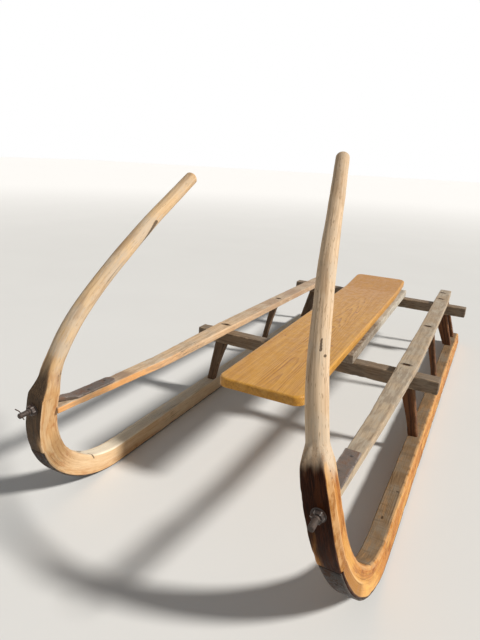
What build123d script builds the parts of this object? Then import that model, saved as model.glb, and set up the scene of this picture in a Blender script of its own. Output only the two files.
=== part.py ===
"""Horn sled: two grown crooks that are runner and horn in one, joined by rails, posts and crossbeams.

Millimetres. X runs across the sled, Y from front to rear, Z up. The origin lies on the ground,
in the middle of the sled's length and width. "left" is the side of +X.
"""
import os
from math import atan, cos, degrees, radians, sin, tan

from build123d import *

# Overall
overall_length = 2410.0
width_over_beams = 992.0
beams_beyond = 12.0          # how far the crossbeams reach out over the runners
track_half = width_over_beams / 2 - beams_beyond     # sled's middle to a runner's outer side, on the ground
front_y = -overall_length / 2
rear_y = overall_length / 2
sides = {"left": 1, "right": -1}

# Runner and its bend
runner_width = 64.0          # at the ground; the outer side leans in from here
runner_inner = track_half - runner_width
runner_height = 67.0         # ground to the top of the bed, iron included
bend_radius = {"left": 382.0, "right": 346.0}    # outside of the bend, up to the cheek
bend_thinning = {"left": 45.0, "right": 48.0}    # its inside is rounder by this much
bed_step = 3.0               # the bed is planed down by this much behind the bend
bed_step_turn = 28.0         # degrees round the bend at which the planing starts
bed_chamfer = 5.0
rear_rounding = 14.0

# Cheek, the flat stretch of the crook above the bend that the drawbolt goes through
cheek_width = 60.0
cheek_depth = 55.0
cheek_foot = 360.0           # height from which the cheek leans in like the horn
cheek_top = 405.0
cheek_offset = track_half - 96.0                     # its middle, at its foot
lean_start = 100.0           # height at which the inner side starts to lean inwards
bevel_front = 5.0            # the outer front edge is bevelled from the shoe's end upwards:
bevel_side = 24.0            # this much off the front, this much off the side
bevel_end = 500.0            # height at which the horn is already too round to be touched by it

# Horn, round, bent backwards by two arcs and a straight grip, leaning inwards
horn_lean = 14.05            # degrees at the cheek's foot, more further up:
horn_sweep_radius = 6600.0   # of this inward curve
horn_behind = 2.0            # its middle line starts this much behind the cheek's
horn_first_radius = 457.6
horn_first_angle = 40.85
horn_second_radius = 1726.4
horn_second_angle = 9.8
horn_grip = {"left": 257.0, "right": 142.0}
# columns: distance from the cheek's foot, width across, depth, corner radius, shift forward,
# shift outward
shoulder_sections = {
    "left": [
        (20.0, 59.4, 57.4, 2.0, 2.4, 0.0),
        (45.0, 59.4, 57.6, 2.0, 4.3, 0.0),
        (75.0, 57.0, 59.4, 3.0, 7.7, 1.3),
        (108.0, 52.5, 62.0, 5.0, 14.0, 3.5),
        (140.0, 47.0, 43.0, 20.6, 0.0, 0.0),
    ],
    "right": [
        (20.0, 59.4, 57.4, 3.0, 2.4, 0.0),
        (45.0, 59.0, 59.4, 5.0, 3.0, 0.0),
        (62.0, 58.0, 54.0, 9.0, 1.1, 0.0),
        (85.0, 54.0, 47.5, 13.0, 0.0, 0.0),
        (110.0, 50.0, 45.0, 17.0, 0.0, 0.0),
        (140.0, 47.0, 43.0, 20.6, 0.0, 0.0),
    ],
}
tip_width = 35.5
tip_depth = 33.0
horn_steps = 8               # sections of the round part are evenly spaced
horn_flat = 0.9              # what the corner radius lacks of half the depth
tip_dome = 20.0              # radius of the rounded tip

# Iron shoe under each runner
shoe_inset = 3.0             # wood bare on each side of it
shoe_thickness = 4.0
shoe_wrap = 69.0             # degrees that it climbs round the bend
shoe_notch = 2.5             # open notch in the wood above its upper end

# Deck: crossbeams hang below this plane, rails and boards lie on it; it falls towards the rear
deck_height = 306.0          # over the first station
deck_fall = 0.6              # degrees
# columns: place along the sled, middle of the post's head, width of its foot, width of its
# shoulder, hollow of its inner side
stations = {
    "front": (front_y + 1018.0, track_half - 106.0, 35.0, 62.0, 7.0),
    "middle": (front_y + 1560.0, track_half - 109.0, 25.0, 40.0, 5.0),
    "rear": (rear_y - 259.0, track_half - 124.0, 44.0, 76.0, 1.0),
    "tail": (rear_y - 93.0, track_half - 132.0, 30.0, 48.0, 7.0),
}
first_station = stations["front"][0]
last_beam = stations["rear"][0]
beams = ("front", "rear")    # stations with a crossbeam
beam_width = 54.0
beam_height = 51.0
beam_end_chamfer = 5.0

# Side rails: widest between the beams, drawn in to the front, where they rise to the cheek
rail_height = 28.0
rail_end_height = 18.0       # at the cheek, thinned from below
rail_edge = 3.0
rail_inner_front = track_half - 133.0                # inner side of the front stretch
rail_end_width = 39.0        # at the cheek
rail_front = 467.0           # length of the rising front stretch
rail_rise = {"left": 16.0, "right": 18.0}
rail_blank = 30.0            # the blank runs this far into the cheek before its end is hollowed
joint_gap = 0.3              # between a rail's hollowed front end and the bend

# Posts between runner and deck
post_outer_foot = track_half - 29.0                  # outer face at the bed
post_head_half = 29.0        # outer face from the middle of its head, at the deck
post_thickness = 26.0
post_edge = 7.0
tenon_offset = track_half - 44.0                     # middle of the tenon at the bed
tenon_width = 24.0
tenon_thickness = 16.0
foot_tenon_width = 18.0
foot_tenon_depth = 34.0
tenon_within = 20.0          # how far a tenon's bar runs on within its post
tenon_play = 0.2
tenon_below_top = 4.0

# Boards
board_skew = 1.4             # degrees, both boards lie askew on the beams
under_width = 250.0
under_thickness = 35.0
under_offset = 67.0          # its middle from the sled's middle, over the first station
under_ahead = 52.0           # front end ahead of the first station
under_behind = 45.0          # rear end behind the last beam
under_edge = 3.0
seat_width = 280.0
seat_thickness = 30.0
seat_offset = 32.0
seat_ahead = 547.0
seat_behind = 75.0
seat_tail = 270.0
seat_tail_rise = 5.0         # degrees
seat_corner = 36.0
seat_edge = 7.0

# Drawbolt: a flat strap on the rail, forged into a stud through the cheek
stud_offset = track_half - 100.0
stud_diameter = 16.0
stud_end_diameter = 14.0     # its bare end, in front of the thread
thread_beyond_nut = 6.0
stud_tip_chamfer = 1.5
stud_hole = 17.0
stud_above_rail = {"left": 23.3, "right": 8.6}     # its axis over the rail's top at the cheek
stud_beyond_nut = 31.0
strap_width = 40.0
strap_thickness = 6.0
strap_length = {"left": 238.0, "right": 222.0}
strap_corner = {"left": 4.0, "right": 19.5}
strap_neck = 70.0            # stretch over which the strap turns into the stud
neck_behind_cheek = 6.0      # clear of the cheek's back
neck_inset = 0.1             # the neck is this much smaller than the strap on each side
neck_overlap = 2.0           # and starts this far within it
washer_diameter = 32.0
washer_thickness = 3.0
nut_across_flats = 24.0
nut_height = 10.0
nut_bore = 16.6
spot_face = 1.0              # flat seat for the washer, sunk into the cheek's front
spot_face_play = 1.0

cheek_front = front_y + stud_beyond_nut + nut_height + washer_thickness - spot_face
cheek_back = cheek_front + cheek_depth
rail_crease = cheek_back + rail_front
# columns: place along the sled, inner side of the rail, outer side
rail_sides = [
    (rail_crease, rail_inner_front, track_half - 83.0),
    (first_station, track_half - 138.0, track_half - 71.0),
    (stations["middle"][0], track_half - 142.0, track_half - 75.0),
    (last_beam, track_half - 153.0, track_half - 83.0),
    (rear_y - 4.0, track_half - 155.0, track_half - 94.0),
]
reach = 3000.0               # longer than anything it cuts


def deck(y=first_station, x=0.0, z=0.0):
    """Frame on the deck plane, at a place along the sled."""
    return Location((0, first_station, deck_height), (-deck_fall, 0, 0)) * Pos(x, y - first_station, z)


def deck_z(y, above=0.0):
    """Height of the plane that lies a distance above the deck, at a place along the sled."""
    return deck_height - tan(radians(deck_fall)) * (y - first_station) + above / cos(radians(deck_fall))


def side_slab(outline):
    """Outline in the Y-Z plane, made thick across the sled."""
    return extrude(Plane.YZ * outline, reach / 4, both=True)


def front_band(inset):
    """Crook seen from the front: outer side one slope from the ground, inner side upright, then leaning."""
    half = cheek_width / 2
    x_top = cheek_offset - tan(radians(horn_lean)) * (cheek_top - cheek_foot)
    outer = [(runner_inner + runner_width, 0), (cheek_offset + half, cheek_foot), (x_top + half, cheek_top)]
    inner = [(x_top - half, cheek_top), (cheek_offset - half, cheek_foot),
             (runner_inner, lean_start), (runner_inner, 0)]
    points = [(x - inset, z) for x, z in outer] + [(x + inset, z) for x, z in inner]
    return extrude(Plane.XZ * make_face(Polyline(*points, close=True)), reach / 2, both=True)


def bend_circles(side_name):
    """Radius, Y and Z of the centre, of the bend's outside and of its inside."""
    outer = bend_radius[side_name]
    inner = outer - bend_thinning[side_name]
    return (outer, cheek_front + outer, outer), (inner, cheek_back + inner, runner_height + inner)


def on_circle(circle, turn, larger=0.0):
    """Point on a bend's circle, turned by degrees from its lowest point towards the front."""
    radius, y, z = circle
    return (y - (radius + larger) * sin(radians(turn)), z - (radius + larger) * cos(radians(turn)))


def crook_outline(side_name):
    """Side view of bed, bend and cheek, with the planed step in the bed."""
    outer, inner = bend_circles(side_name)
    late, early = (bed_step_turn + 90) / 2, bed_step_turn / 2
    back = cheek_back + bed_step
    rough = on_circle(inner, bed_step_turn, -bed_step)
    planed = on_circle(inner, bed_step_turn)
    lines = [
        Line((rear_y, 0), on_circle(outer, 0)),
        ThreePointArc(on_circle(outer, 0), on_circle(outer, 45), on_circle(outer, 90)),
        Line(on_circle(outer, 90), (cheek_front, cheek_top)),
        Line((cheek_front, cheek_top), (back, cheek_top)),
        Line((back, cheek_top), on_circle(inner, 90, -bed_step)),
        ThreePointArc(on_circle(inner, 90, -bed_step), on_circle(inner, late, -bed_step), rough),
        Line(rough, planed),
        ThreePointArc(planed, on_circle(inner, early), on_circle(inner, 0)),
        Line(on_circle(inner, 0), (rear_y, runner_height)),
        Line((rear_y, runner_height), (rear_y, 0)),
    ]
    return make_face(Curve() + lines)


def shoe_outline(side_name, angle, extra):
    """Side view of the iron strip: flat under the bed, then round the bend by an angle."""
    circle = bend_circles(side_name)[0]
    inside = -shoe_thickness
    lines = [
        Line((rear_y + extra, -extra), on_circle(circle, 0, extra)),
        ThreePointArc(on_circle(circle, 0, extra), on_circle(circle, angle / 2, extra),
                      on_circle(circle, angle, extra)),
        Line(on_circle(circle, angle, extra), on_circle(circle, angle, inside)),
        ThreePointArc(on_circle(circle, angle, inside), on_circle(circle, angle / 2, inside),
                      on_circle(circle, 0, inside)),
        Line(on_circle(circle, 0, inside), (rear_y + extra, shoe_thickness)),
        Line((rear_y + extra, shoe_thickness), (rear_y + extra, -extra)),
    ]
    return make_face(Curve() + lines)


def horn_frame(distance, side):
    """Place and direction on the horn's middle line, a distance up from the foot of the cheek."""
    first = horn_first_radius * radians(horn_first_angle)
    second = horn_second_radius * radians(horn_second_angle)
    y, z, angle = (cheek_front + cheek_back + bed_step) / 2 + horn_behind, cheek_foot, 0.0
    for radius, length in ((horn_first_radius, first), (horn_second_radius, second)):
        go = min(distance, length)
        turned = angle + go / radius
        y += radius * (cos(angle) - cos(turned))
        z += radius * (sin(turned) - sin(angle))
        angle = turned
        distance -= go
    y += distance * sin(angle)
    z += distance * cos(angle)
    rise = z - cheek_foot
    lean = tan(radians(horn_lean)) + rise / horn_sweep_radius
    x = cheek_offset - tan(radians(horn_lean)) * rise - rise * rise / (2 * horn_sweep_radius)
    up = Vector(-lean * cos(angle), sin(angle), cos(angle)).normalized()
    return Plane(origin=(side * x, y, z), x_dir=(1, 0, side * lean), z_dir=(side * up.X, up.Y, up.Z))


def horn(side_name, side):
    """Squared shoulder that turns round in straight facets, then the round horn up to its tip."""
    shoulder = Sketch()
    for distance, width, depth, corner, forward, outward in shoulder_sections[side_name]:
        outline = RectangleRounded(width, depth, corner)
        shoulder += horn_frame(distance, side) * (Pos(side * outward, -forward) * outline)
    start, width, depth = shoulder_sections[side_name][-1][:3]
    bends = horn_first_radius * radians(horn_first_angle) + horn_second_radius * radians(horn_second_angle)
    end = bends + horn_grip[side_name]
    shaft = Sketch()
    for step in range(horn_steps + 1):
        share = step / horn_steps
        wide = width + share * (tip_width - width)
        deep = depth + share * (tip_depth - depth)
        outline = RectangleRounded(wide, deep, deep / 2 - horn_flat)
        shaft += horn_frame(start + share * (end - start), side) * outline
    body = loft(shoulder.faces(), ruled=True) + loft(shaft.faces())
    beyond = Cylinder(3 * tip_dome, 3 * tip_dome, align=(Align.CENTER, Align.CENTER, Align.MIN))
    return body - horn_frame(end - tip_dome, side) * (beyond - Sphere(tip_dome))


def mirrored(shape, side):
    """The left-hand shape, or its mirror image for the right."""
    return shape if side > 0 else mirror(shape, Plane.YZ)


def tenon_lean(station):
    """Degrees by which a post's tenons lean inwards, from the bed to the middle of its head."""
    head = stations[station][1]
    return degrees(atan((tenon_offset - head) / (deck_height + rail_height / 2 - runner_height)))


def leaning_bar(station, z_low, z_high, width, thickness):
    """Rectangular bar along the leaning line that the tenons of a post follow."""
    lean = tenon_lean(station)
    middle = (z_low + z_high) / 2
    x = tenon_offset - tan(radians(lean)) * (middle - runner_height)
    bar = Box(width, thickness, (z_high - z_low) / cos(radians(lean)))
    return Location((x, stations[station][0], middle), (0, -lean, 0)) * bar


def above_deck(level):
    """Everything above the plane that lies at a level over the deck."""
    return deck(z=level + reach / 2) * Box(reach, 2 * reach, reach)


def tenons(station, play):
    """Top tenon and foot tenon of the post at a station."""
    thick = tenon_thickness + 2 * play
    low = deck_height - beam_height - 2 * tenon_within
    top = leaning_bar(station, low, deck_height + 2 * rail_height, tenon_width + 2 * play, thick)
    bottom = runner_height - foot_tenon_depth - play
    foot = leaning_bar(station, bottom, runner_height + tenon_within, foot_tenon_width + 2 * play, thick)
    return top, foot


def post(station):
    """Post: narrow foot, flaring inwards to a wide shoulder, with a tenon at each end."""
    y, head, foot_width, shoulder_width, hollow = stations[station]
    level = -beam_height if station in beams else 0.0
    top_z = deck_z(y, level) + tenon_within
    slope = (post_outer_foot - head - post_head_half) / (deck_height - runner_height)
    outer_top = post_outer_foot - slope * (top_z - runner_height)
    inner_foot, inner_top = post_outer_foot - foot_width, outer_top - shoulder_width
    middle = ((inner_foot + inner_top) / 2 + hollow, (top_z + runner_height) / 2)
    outline = Curve() + [
        Line((post_outer_foot, runner_height), (outer_top, top_z)),
        Line((outer_top, top_z), (inner_top, top_z)),
        ThreePointArc((inner_top, top_z), middle, (inner_foot, runner_height)),
        Line((inner_foot, runner_height), (post_outer_foot, runner_height)),
    ]
    body = Pos(0, y, 0) * extrude(Plane.XZ * make_face(outline), post_thickness / 2, both=True)
    outer_face = body.faces().filter_by(lambda f: f.normal_at().X > 0.9)[0]
    body = fillet(outer_face.edges().filter_by(lambda e: e.length > rail_height * 2), post_edge)
    body -= above_deck(level)
    top, foot_tenon = tenons(station, 0)
    return body + (top - above_deck(rail_height - tenon_below_top)) + foot_tenon


def bevel(z_low, z_high, slope):
    """Wedge that takes off the outer front edge of the cheek, leaning in with it."""
    outer = cheek_offset + cheek_width / 2 - slope * (z_low - cheek_foot)
    far = 2 * cheek_depth
    turn = bevel_front / bevel_side
    points = [
        (outer - bevel_front - turn * far, cheek_front - far),
        (outer + turn * far, cheek_front + bevel_side + far),
        (outer + far, cheek_front - far),
    ]
    face = Pos(0, 0, z_low) * make_face(Polyline(*points, close=True))
    return extrude(face, (z_high - z_low) / cos(atan(slope)), dir=(-slope, 0, 1))


def rise_slope(side_name):
    """Degrees by which the front stretch of a rail is steeper than the deck."""
    return degrees(atan(rail_rise[side_name] / rail_front))


def on_rail(side_name, y, x=0.0, above=0.0):
    """Frame on the top of a rail's rising front stretch, at a place along the sled."""
    crease = deck(rail_crease, x, rail_height)
    return crease * Location((0, 0, 0), (-rise_slope(side_name), 0, 0)) * Pos(0, y - rail_crease, above)


def stud_height(side_name):
    """Height of the stud's axis."""
    return deck_z(cheek_back, rail_height) + rail_rise[side_name] + stud_above_rail[side_name]


def crook(side_name, side):
    """Runner bed, bend, cheek and horn, one grown piece of wood."""
    body = side_slab(crook_outline(side_name)) & front_band(0)
    rear_top = body.edges().filter_by(Axis.X).group_by(Axis.Y)[-1].sort_by(Axis.Z)[-1]
    body = fillet(rear_top, rear_rounding)
    top_edges = [e for e in body.edges().filter_by(Axis.Y) if abs(e.center().Z - runner_height) < 0.5]
    outer_edge = max(top_edges, key=lambda e: e.center().X)
    body = chamfer(outer_edge, bed_chamfer)
    notch = degrees(shoe_notch / bend_radius[side_name])
    body -= side_slab(shoe_outline(side_name, shoe_wrap + notch, 1.0))
    body = mirrored(body, side) + horn(side_name, side)
    outer_slope = (runner_inner + runner_width - cheek_offset - cheek_width / 2) / cheek_foot
    body -= mirrored(bevel(cheek_foot / 2, cheek_foot, outer_slope), side)
    body -= mirrored(bevel(cheek_foot, bevel_end, tan(radians(horn_lean))), side)
    for station in stations:
        body -= mirrored(tenons(station, tenon_play)[1], side)
    stud_z = stud_height(side_name)
    hole = Cylinder(stud_hole / 2, 4 * cheek_depth)
    seat = Cylinder(washer_diameter / 2 + spot_face_play, cheek_depth)
    seat_y = cheek_front + spot_face - cheek_depth / 2
    body -= Location((side * stud_offset, cheek_front, stud_z), (90, 0, 0)) * hole
    return body - Location((side * stud_offset, seat_y, stud_z), (90, 0, 0)) * seat


def shoe(side_name, side):
    """Iron strip under the bed and round the front of the bend."""
    return mirrored(side_slab(shoe_outline(side_name, shoe_wrap, 0.0)) & front_band(shoe_inset), side)


def rail_section(y, inner, outer, top, height):
    """Upright section of a rail with its upper edges taken off."""
    width = outer - inner
    points = [(0, -height), (width, -height), (width, -rail_edge), (width - rail_edge, 0),
              (rail_edge, 0), (0, -rail_edge)]
    return deck(y, inner, top) * Rot(90, 0, 0) * make_face(Polyline(*points, close=True))


def rail(side_name, side):
    """Side rail: lies on the beams, its hollowed front end butts against the back of the bend."""
    start = cheek_back - rail_blank
    rise = rail_rise[side_name] * (rail_crease - start) / rail_front
    sections = Sketch() + rail_section(
        start, rail_inner_front, rail_inner_front + rail_end_width, rail_height + rise, rail_end_height)
    for y, inner, outer in rail_sides:
        sections += rail_section(y, inner, outer, rail_height, rail_height)
    body = loft(sections.faces(), ruled=True)
    radius, centre_y, centre_z = bend_circles(side_name)[1]
    hollow = Location((0, centre_y, centre_z), (0, 90, 0)) * Cylinder(radius - bed_step - joint_gap, reach)
    body -= Pos(0, centre_y - reach / 2, 0) * Box(reach, reach, reach) - hollow
    for station in stations:
        body -= tenons(station, tenon_play)[0]
    return mirrored(body, side)


def beam(station):
    """Crossbeam under the rails, with a mortise for the post at each end."""
    bar = Box(width_over_beams, beam_width, beam_height)
    end_edges = bar.edges().filter_by(lambda e: abs(e.center().X) > width_over_beams / 2 - 1)
    bar = chamfer(end_edges, beam_end_chamfer)
    body = deck(stations[station][0], 0, -beam_height / 2) * bar
    tool = tenons(station, tenon_play)[0]
    return body - tool - mirror(tool, Plane.YZ)


def under_board():
    """Old board that lies on both crossbeams and carries the seat."""
    length = under_ahead + last_beam - first_station + under_behind
    board = Box(under_width, length, under_thickness)
    board = chamfer(board.edges().filter_by(Axis.Y), under_edge)
    turned = Rot(0, 0, board_skew) * Pos(0, length / 2 - under_ahead, under_thickness / 2) * board
    return deck(x=under_offset) * turned


def seat_board():
    """Seat: a plank with rounded corners whose rear end rises a little."""
    front = -seat_ahead
    rear = last_beam - first_station + seat_behind
    crease = rear - seat_tail
    rise = seat_tail * tan(radians(seat_tail_rise))
    points = [(front, 0), (crease, 0), (rear, rise), (rear, rise + seat_thickness),
              (crease, seat_thickness), (front, seat_thickness)]
    slab = extrude(Plane.YZ * make_face(Polyline(*points, close=True)), seat_width / 2, both=True)
    plan = Pos(0, (front + rear) / 2) * RectangleRounded(seat_width, rear - front, seat_corner)
    board = slab & extrude(plan, seat_width)
    board = fillet(board.faces().filter_by(Axis.Z).sort_by(Axis.Z)[-1].edges(), seat_edge)
    return deck(x=seat_offset, z=under_thickness) * Rot(0, 0, board_skew) * board


def drawbolt(side_name, side):
    """Strap on top of the rail, drawn out into a round stud that goes through the cheek."""
    strap_offset = rail_inner_front + strap_width / 2
    strap_y = cheek_back + strap_neck
    long = strap_length[side_name] - strap_neck
    corner = strap_corner[side_name]
    plan = Rectangle(strap_width, long - corner, align=(Align.CENTER, Align.MIN))
    plan += Pos(0, long / 2) * RectangleRounded(strap_width, long, corner)
    flat = on_rail(side_name, strap_y, strap_offset) * extrude(plan, strap_thickness)
    stud_z = stud_height(side_name)
    stud_end_y = cheek_back + bed_step + neck_behind_cheek
    upright = (90, 0, 0)
    wide, thick = strap_width - 2 * neck_inset, strap_thickness - 2 * neck_inset
    square = stud_diameter - 2 * neck_inset
    neck = on_rail(side_name, strap_y + neck_overlap, strap_offset, strap_thickness / 2).position
    sections = Sketch() + Location(tuple(neck), upright) * Rectangle(wide, thick)
    sections += Location((stud_offset, stud_end_y, stud_z), upright) * Rectangle(square, square)
    length = stud_end_y + strap_thickness - front_y
    bare = stud_beyond_nut - thread_beyond_nut
    from_rear = (Align.CENTER, Align.CENTER, Align.MIN)
    stud = Cylinder(stud_diameter / 2, length - bare, align=from_rear)
    tip = Cylinder(stud_end_diameter / 2, length, align=from_rear)
    stud += chamfer(tip.edges().sort_by(Axis.Z)[-1], stud_tip_chamfer)
    stud = Location((stud_offset, front_y + length, stud_z), upright) * stud
    return mirrored(flat + loft(sections.faces(), ruled=True) + stud, side)


def washer(side_name, side):
    """Washer on its spot face in front of the cheek."""
    y = cheek_front + spot_face - washer_thickness / 2
    disc = Cylinder(washer_diameter / 2, washer_thickness) - Cylinder(stud_hole / 2, 2 * washer_thickness)
    return Location((side * stud_offset, y, stud_height(side_name)), (90, 0, 0)) * disc


def nut(side_name, side):
    """Hexagon nut against the washer."""
    y = cheek_front + spot_face - washer_thickness
    hexagon = RegularPolygon(nut_across_flats / 2, 6, major_radius=False) - Circle(nut_bore / 2)
    place = Location((side * stud_offset, y, stud_height(side_name)), (90, 0, 0))
    return place * extrude(hexagon, nut_height)


def pieces():
    """Every piece of the sled, by name."""
    made = {"seat_board": seat_board(), "under_board": under_board()}
    for station in beams:
        made[f"crossbeam_{station}"] = beam(station)
    for side_name, side in sides.items():
        for kind in (crook, shoe, rail, drawbolt, washer, nut):
            made[f"{kind.__name__}_{side_name}"] = kind(side_name, side)
        for station in stations:
            made[f"post_{station}_{side_name}"] = mirrored(post(station), side)
    return made


os.makedirs("parts", exist_ok=True)
for node, shape in pieces().items():
    export_step(shape, f"parts/{node}.step")
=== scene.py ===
"""Looks of the horn sled: worn wood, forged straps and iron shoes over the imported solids. Metres.

X runs across the sled, Y from front to rear, Z up. "left" is the side of +X. Every new surface is a
set of closed section outlines (rings) along a path, kept as an array of shape (rings, points, 3).
"""
import math

import bmesh
import bpy
import numpy as np
from mathutils import Matrix
from numpy import array, clip, cos, full, linspace, maximum, minimum, ones, pi, sin, zeros


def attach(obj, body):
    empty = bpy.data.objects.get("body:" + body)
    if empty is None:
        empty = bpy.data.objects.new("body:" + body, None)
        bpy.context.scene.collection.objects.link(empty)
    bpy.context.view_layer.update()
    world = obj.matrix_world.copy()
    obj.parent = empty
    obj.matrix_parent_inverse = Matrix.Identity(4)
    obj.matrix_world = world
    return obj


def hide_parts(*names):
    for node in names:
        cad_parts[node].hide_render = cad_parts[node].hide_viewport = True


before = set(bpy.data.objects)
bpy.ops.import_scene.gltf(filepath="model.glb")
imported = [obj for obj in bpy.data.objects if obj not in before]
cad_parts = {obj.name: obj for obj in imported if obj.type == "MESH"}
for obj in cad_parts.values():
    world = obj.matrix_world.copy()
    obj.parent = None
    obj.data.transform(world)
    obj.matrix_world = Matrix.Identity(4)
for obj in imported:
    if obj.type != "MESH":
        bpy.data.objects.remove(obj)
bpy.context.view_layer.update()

# The sled's own sizes
FRONT, REAR = -1.205, 1.205
SIDES = {"left": 1, "right": -1}
TRACK, BED_INNER, BED_HEIGHT, BED_STEP = 0.484, 0.420, 0.067, 0.003
OUTER_SLOPE, INNER_SLOPE, LEAN_START = 66 / 360, 62 / 260, 0.100
BEND_RADIUS = {"left": 0.382, "right": 0.346}
BEND_THINNING = {"left": 0.045, "right": 0.048}
STEP_TURN = math.radians(28.0)
CHEEK_FRONT, CHEEK_BACK, CHEEK_FOOT, CHEEK_TOP = -1.162, -1.107, 0.360, 0.398
REAR_ROUNDING = 0.014
BEVEL_FRONT, BEVEL_SIDE = 0.005, 0.024
HORN_OFFSET, HORN_LEAN, HORN_SWEEP = 0.388, math.tan(math.radians(14.05)), 6.600
HORN_ARCS = ((0.4576, math.radians(40.85)), (1.7264, math.radians(9.8)))
HORN_GRIP = {"left": 0.257, "right": 0.142}
NECK_END, NECK_WIDTH, NECK_DEPTH = 0.140, 0.0470, 0.0430
TIP_WIDTH, TIP_DEPTH, TIP_DOME = 0.0355, 0.0330, 0.020
# columns: distance from the cheek's foot, width, depth, corner radius, shift forward, outward
NECK = (NECK_END, NECK_WIDTH, NECK_DEPTH, 0.0206, 0.0, 0.0)
SHOULDER = {
    "left": ((0.045, 0.0594, 0.0576, 0.003, 0.0043, 0.0), (0.075, 0.0570, 0.0594, 0.004, 0.0077, 0.0013),
             (0.108, 0.0525, 0.0620, 0.006, 0.0140, 0.0035), NECK),
    "right": ((0.045, 0.0590, 0.0594, 0.005, 0.0030, 0.0), (0.062, 0.0580, 0.0540, 0.009, 0.0011, 0.0),
              (0.085, 0.0540, 0.0475, 0.013, 0.0, 0.0), (0.110, 0.0500, 0.0450, 0.017, 0.0, 0.0), NECK),
}
SHOE_THICKNESS, SHOE_INSET, SHOE_WRAP, SHOE_NOTCH = 0.004, 0.003, math.radians(69.0), 0.0025
DECK_HEIGHT, FIRST, FALL = 0.306, -0.187, math.radians(0.6)
DECK_Y = array((0.0, math.cos(FALL), -math.sin(FALL)))
DECK_Z = array((0.0, math.sin(FALL), math.cos(FALL)))
# columns: place along the sled, middle of the head, width of foot, width of shoulder, hollow
STATIONS = {
    "front": (-0.187, 0.378, 0.035, 0.062, 0.007),
    "middle": (0.355, 0.375, 0.025, 0.040, 0.005),
    "rear": (0.946, 0.360, 0.044, 0.076, 0.001),
    "tail": (1.112, 0.352, 0.030, 0.048, 0.007),
}
BEAMS = ("front", "rear")
BEAM_HALF, BEAM_WIDTH, BEAM_HEIGHT = 0.496, 0.054, 0.051
RAIL_HEIGHT, RAIL_END_HEIGHT, RAIL_CREASE, RAIL_FRONT = 0.028, 0.018, -0.640, 0.467
RAIL_RISE = {"left": 0.016, "right": 0.018}
RAIL_INNER, RAIL_CUT = 0.351, 0.0036
# columns: place along the sled, inner side, outer side
RAIL_SIDES = array(((-1.137, 0.351, 0.390), (-0.640, 0.351, 0.401), (-0.187, 0.346, 0.413),
                    (0.355, 0.342, 0.409), (0.946, 0.331, 0.401), (1.201, 0.329, 0.390)))
POST_OUTER_FOOT, POST_HEAD_HALF, POST_THICKNESS, POST_PAST = 0.455, 0.029, 0.026, 0.020
TENON_FOOT, TENON_WIDTH, TENON_THICKNESS, TENON_BELOW = 0.440, 0.024, 0.016, 0.004
SLOT_PLAY, SLOT_DEPTH = 0.0004, 0.007
BOARD_SKEW, TAIL_SLOPE, TAIL_LENGTH, TAIL_SOFT = math.radians(1.4), math.tan(math.radians(5.0)), 0.270, 0.012
STUD_OFFSET, STUD_ROUND, STUD_THIN, STUD_END = 0.384, 0.016, 0.014, 0.0015
STUD_ABOVE_RAIL = {"left": 0.0233, "right": 0.0086}
THREAD_FRONT, THREAD_PITCH, THREAD_DEPTH = -1.1805, 0.002, 0.0007
# how far ahead of the sled's middle the thread sets in and runs out
THREAD_START, THREAD_END = (1.1715, 1.1740), (1.1798, 1.1806)
STRAP_LENGTH = {"left": 0.238, "right": 0.222}
STRAP_CORNER = {"left": 0.004, "right": 0.0195}
STRAP_WIDTH, STRAP_THICKNESS, STRAP_NECK, STRAP_CUT = 0.040, 0.006, 0.070, 0.0012
NUT_HALF, NUT_HEIGHT, WASHER_RADIUS, WASHER_THICKNESS, SPOT_FACE = 0.012, 0.010, 0.016, 0.003, 0.001
WASHER_FRONT = CHEEK_FRONT + SPOT_FACE - WASHER_THICKNESS
UNDER_BOARD = dict(width=0.250, front=-0.052, rear=STATIONS["rear"][0] - FIRST + 0.045, thickness=0.035, corner=0.0015,
                   top_edge=0.003, bottom_edge=0.003, offset=0.067, above=0.0, seed=110)
SEAT_REAR = STATIONS["rear"][0] - FIRST + 0.075
SEAT_BOARD = dict(width=0.280, front=-0.547, rear=SEAT_REAR, thickness=0.030, corner=0.036, top_edge=0.007,
                  bottom_edge=0.0015, offset=0.032, above=UNDER_BOARD["thickness"], seed=120,
                  crease=SEAT_REAR - TAIL_LENGTH)
# The picture's surroundings
FLOOR_HALF, FLOOR_DROP, SKY_STRENGTH = 60.0, 0.0012, 0.20
CAMERA_PLACE, CAMERA_TURNS, SENSOR_HEIGHT, LENS = (0.5818, -1.8970, 1.0), (27.499, 18.173, 2.887), 36.0, 27.22

# points of a section: on each corner and on each side between two corners
PER_CORNER, PER_SIDE = 8, 7
WEAR_REACH = 0.004
RIGHTWARD, REARWARD, UPWARD = (1.0, 0.0, 0.0), (0.0, 1.0, 0.0), (0.0, 0.0, 1.0)


# Numbers that shape surfaces

def points(*parts):
    """Points from their coordinates, which are first spread to one shape."""
    return np.stack(np.broadcast_arrays(*parts), -1)


def join(*parts):
    """Arrays and single numbers, one after the other."""
    return np.concatenate([np.atleast_1d(part) for part in parts])


def unit(vectors):
    """Vectors divided by their length."""
    return vectors / maximum(np.linalg.norm(vectors, axis=-1, keepdims=True), 1e-12)


def ease(value, low, high):
    """0 below low, 1 above high, 3t² - 2t³ between."""
    t = clip((value - low) / (high - low), 0, 1)
    return t * t * (3 - 2 * t)


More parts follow.
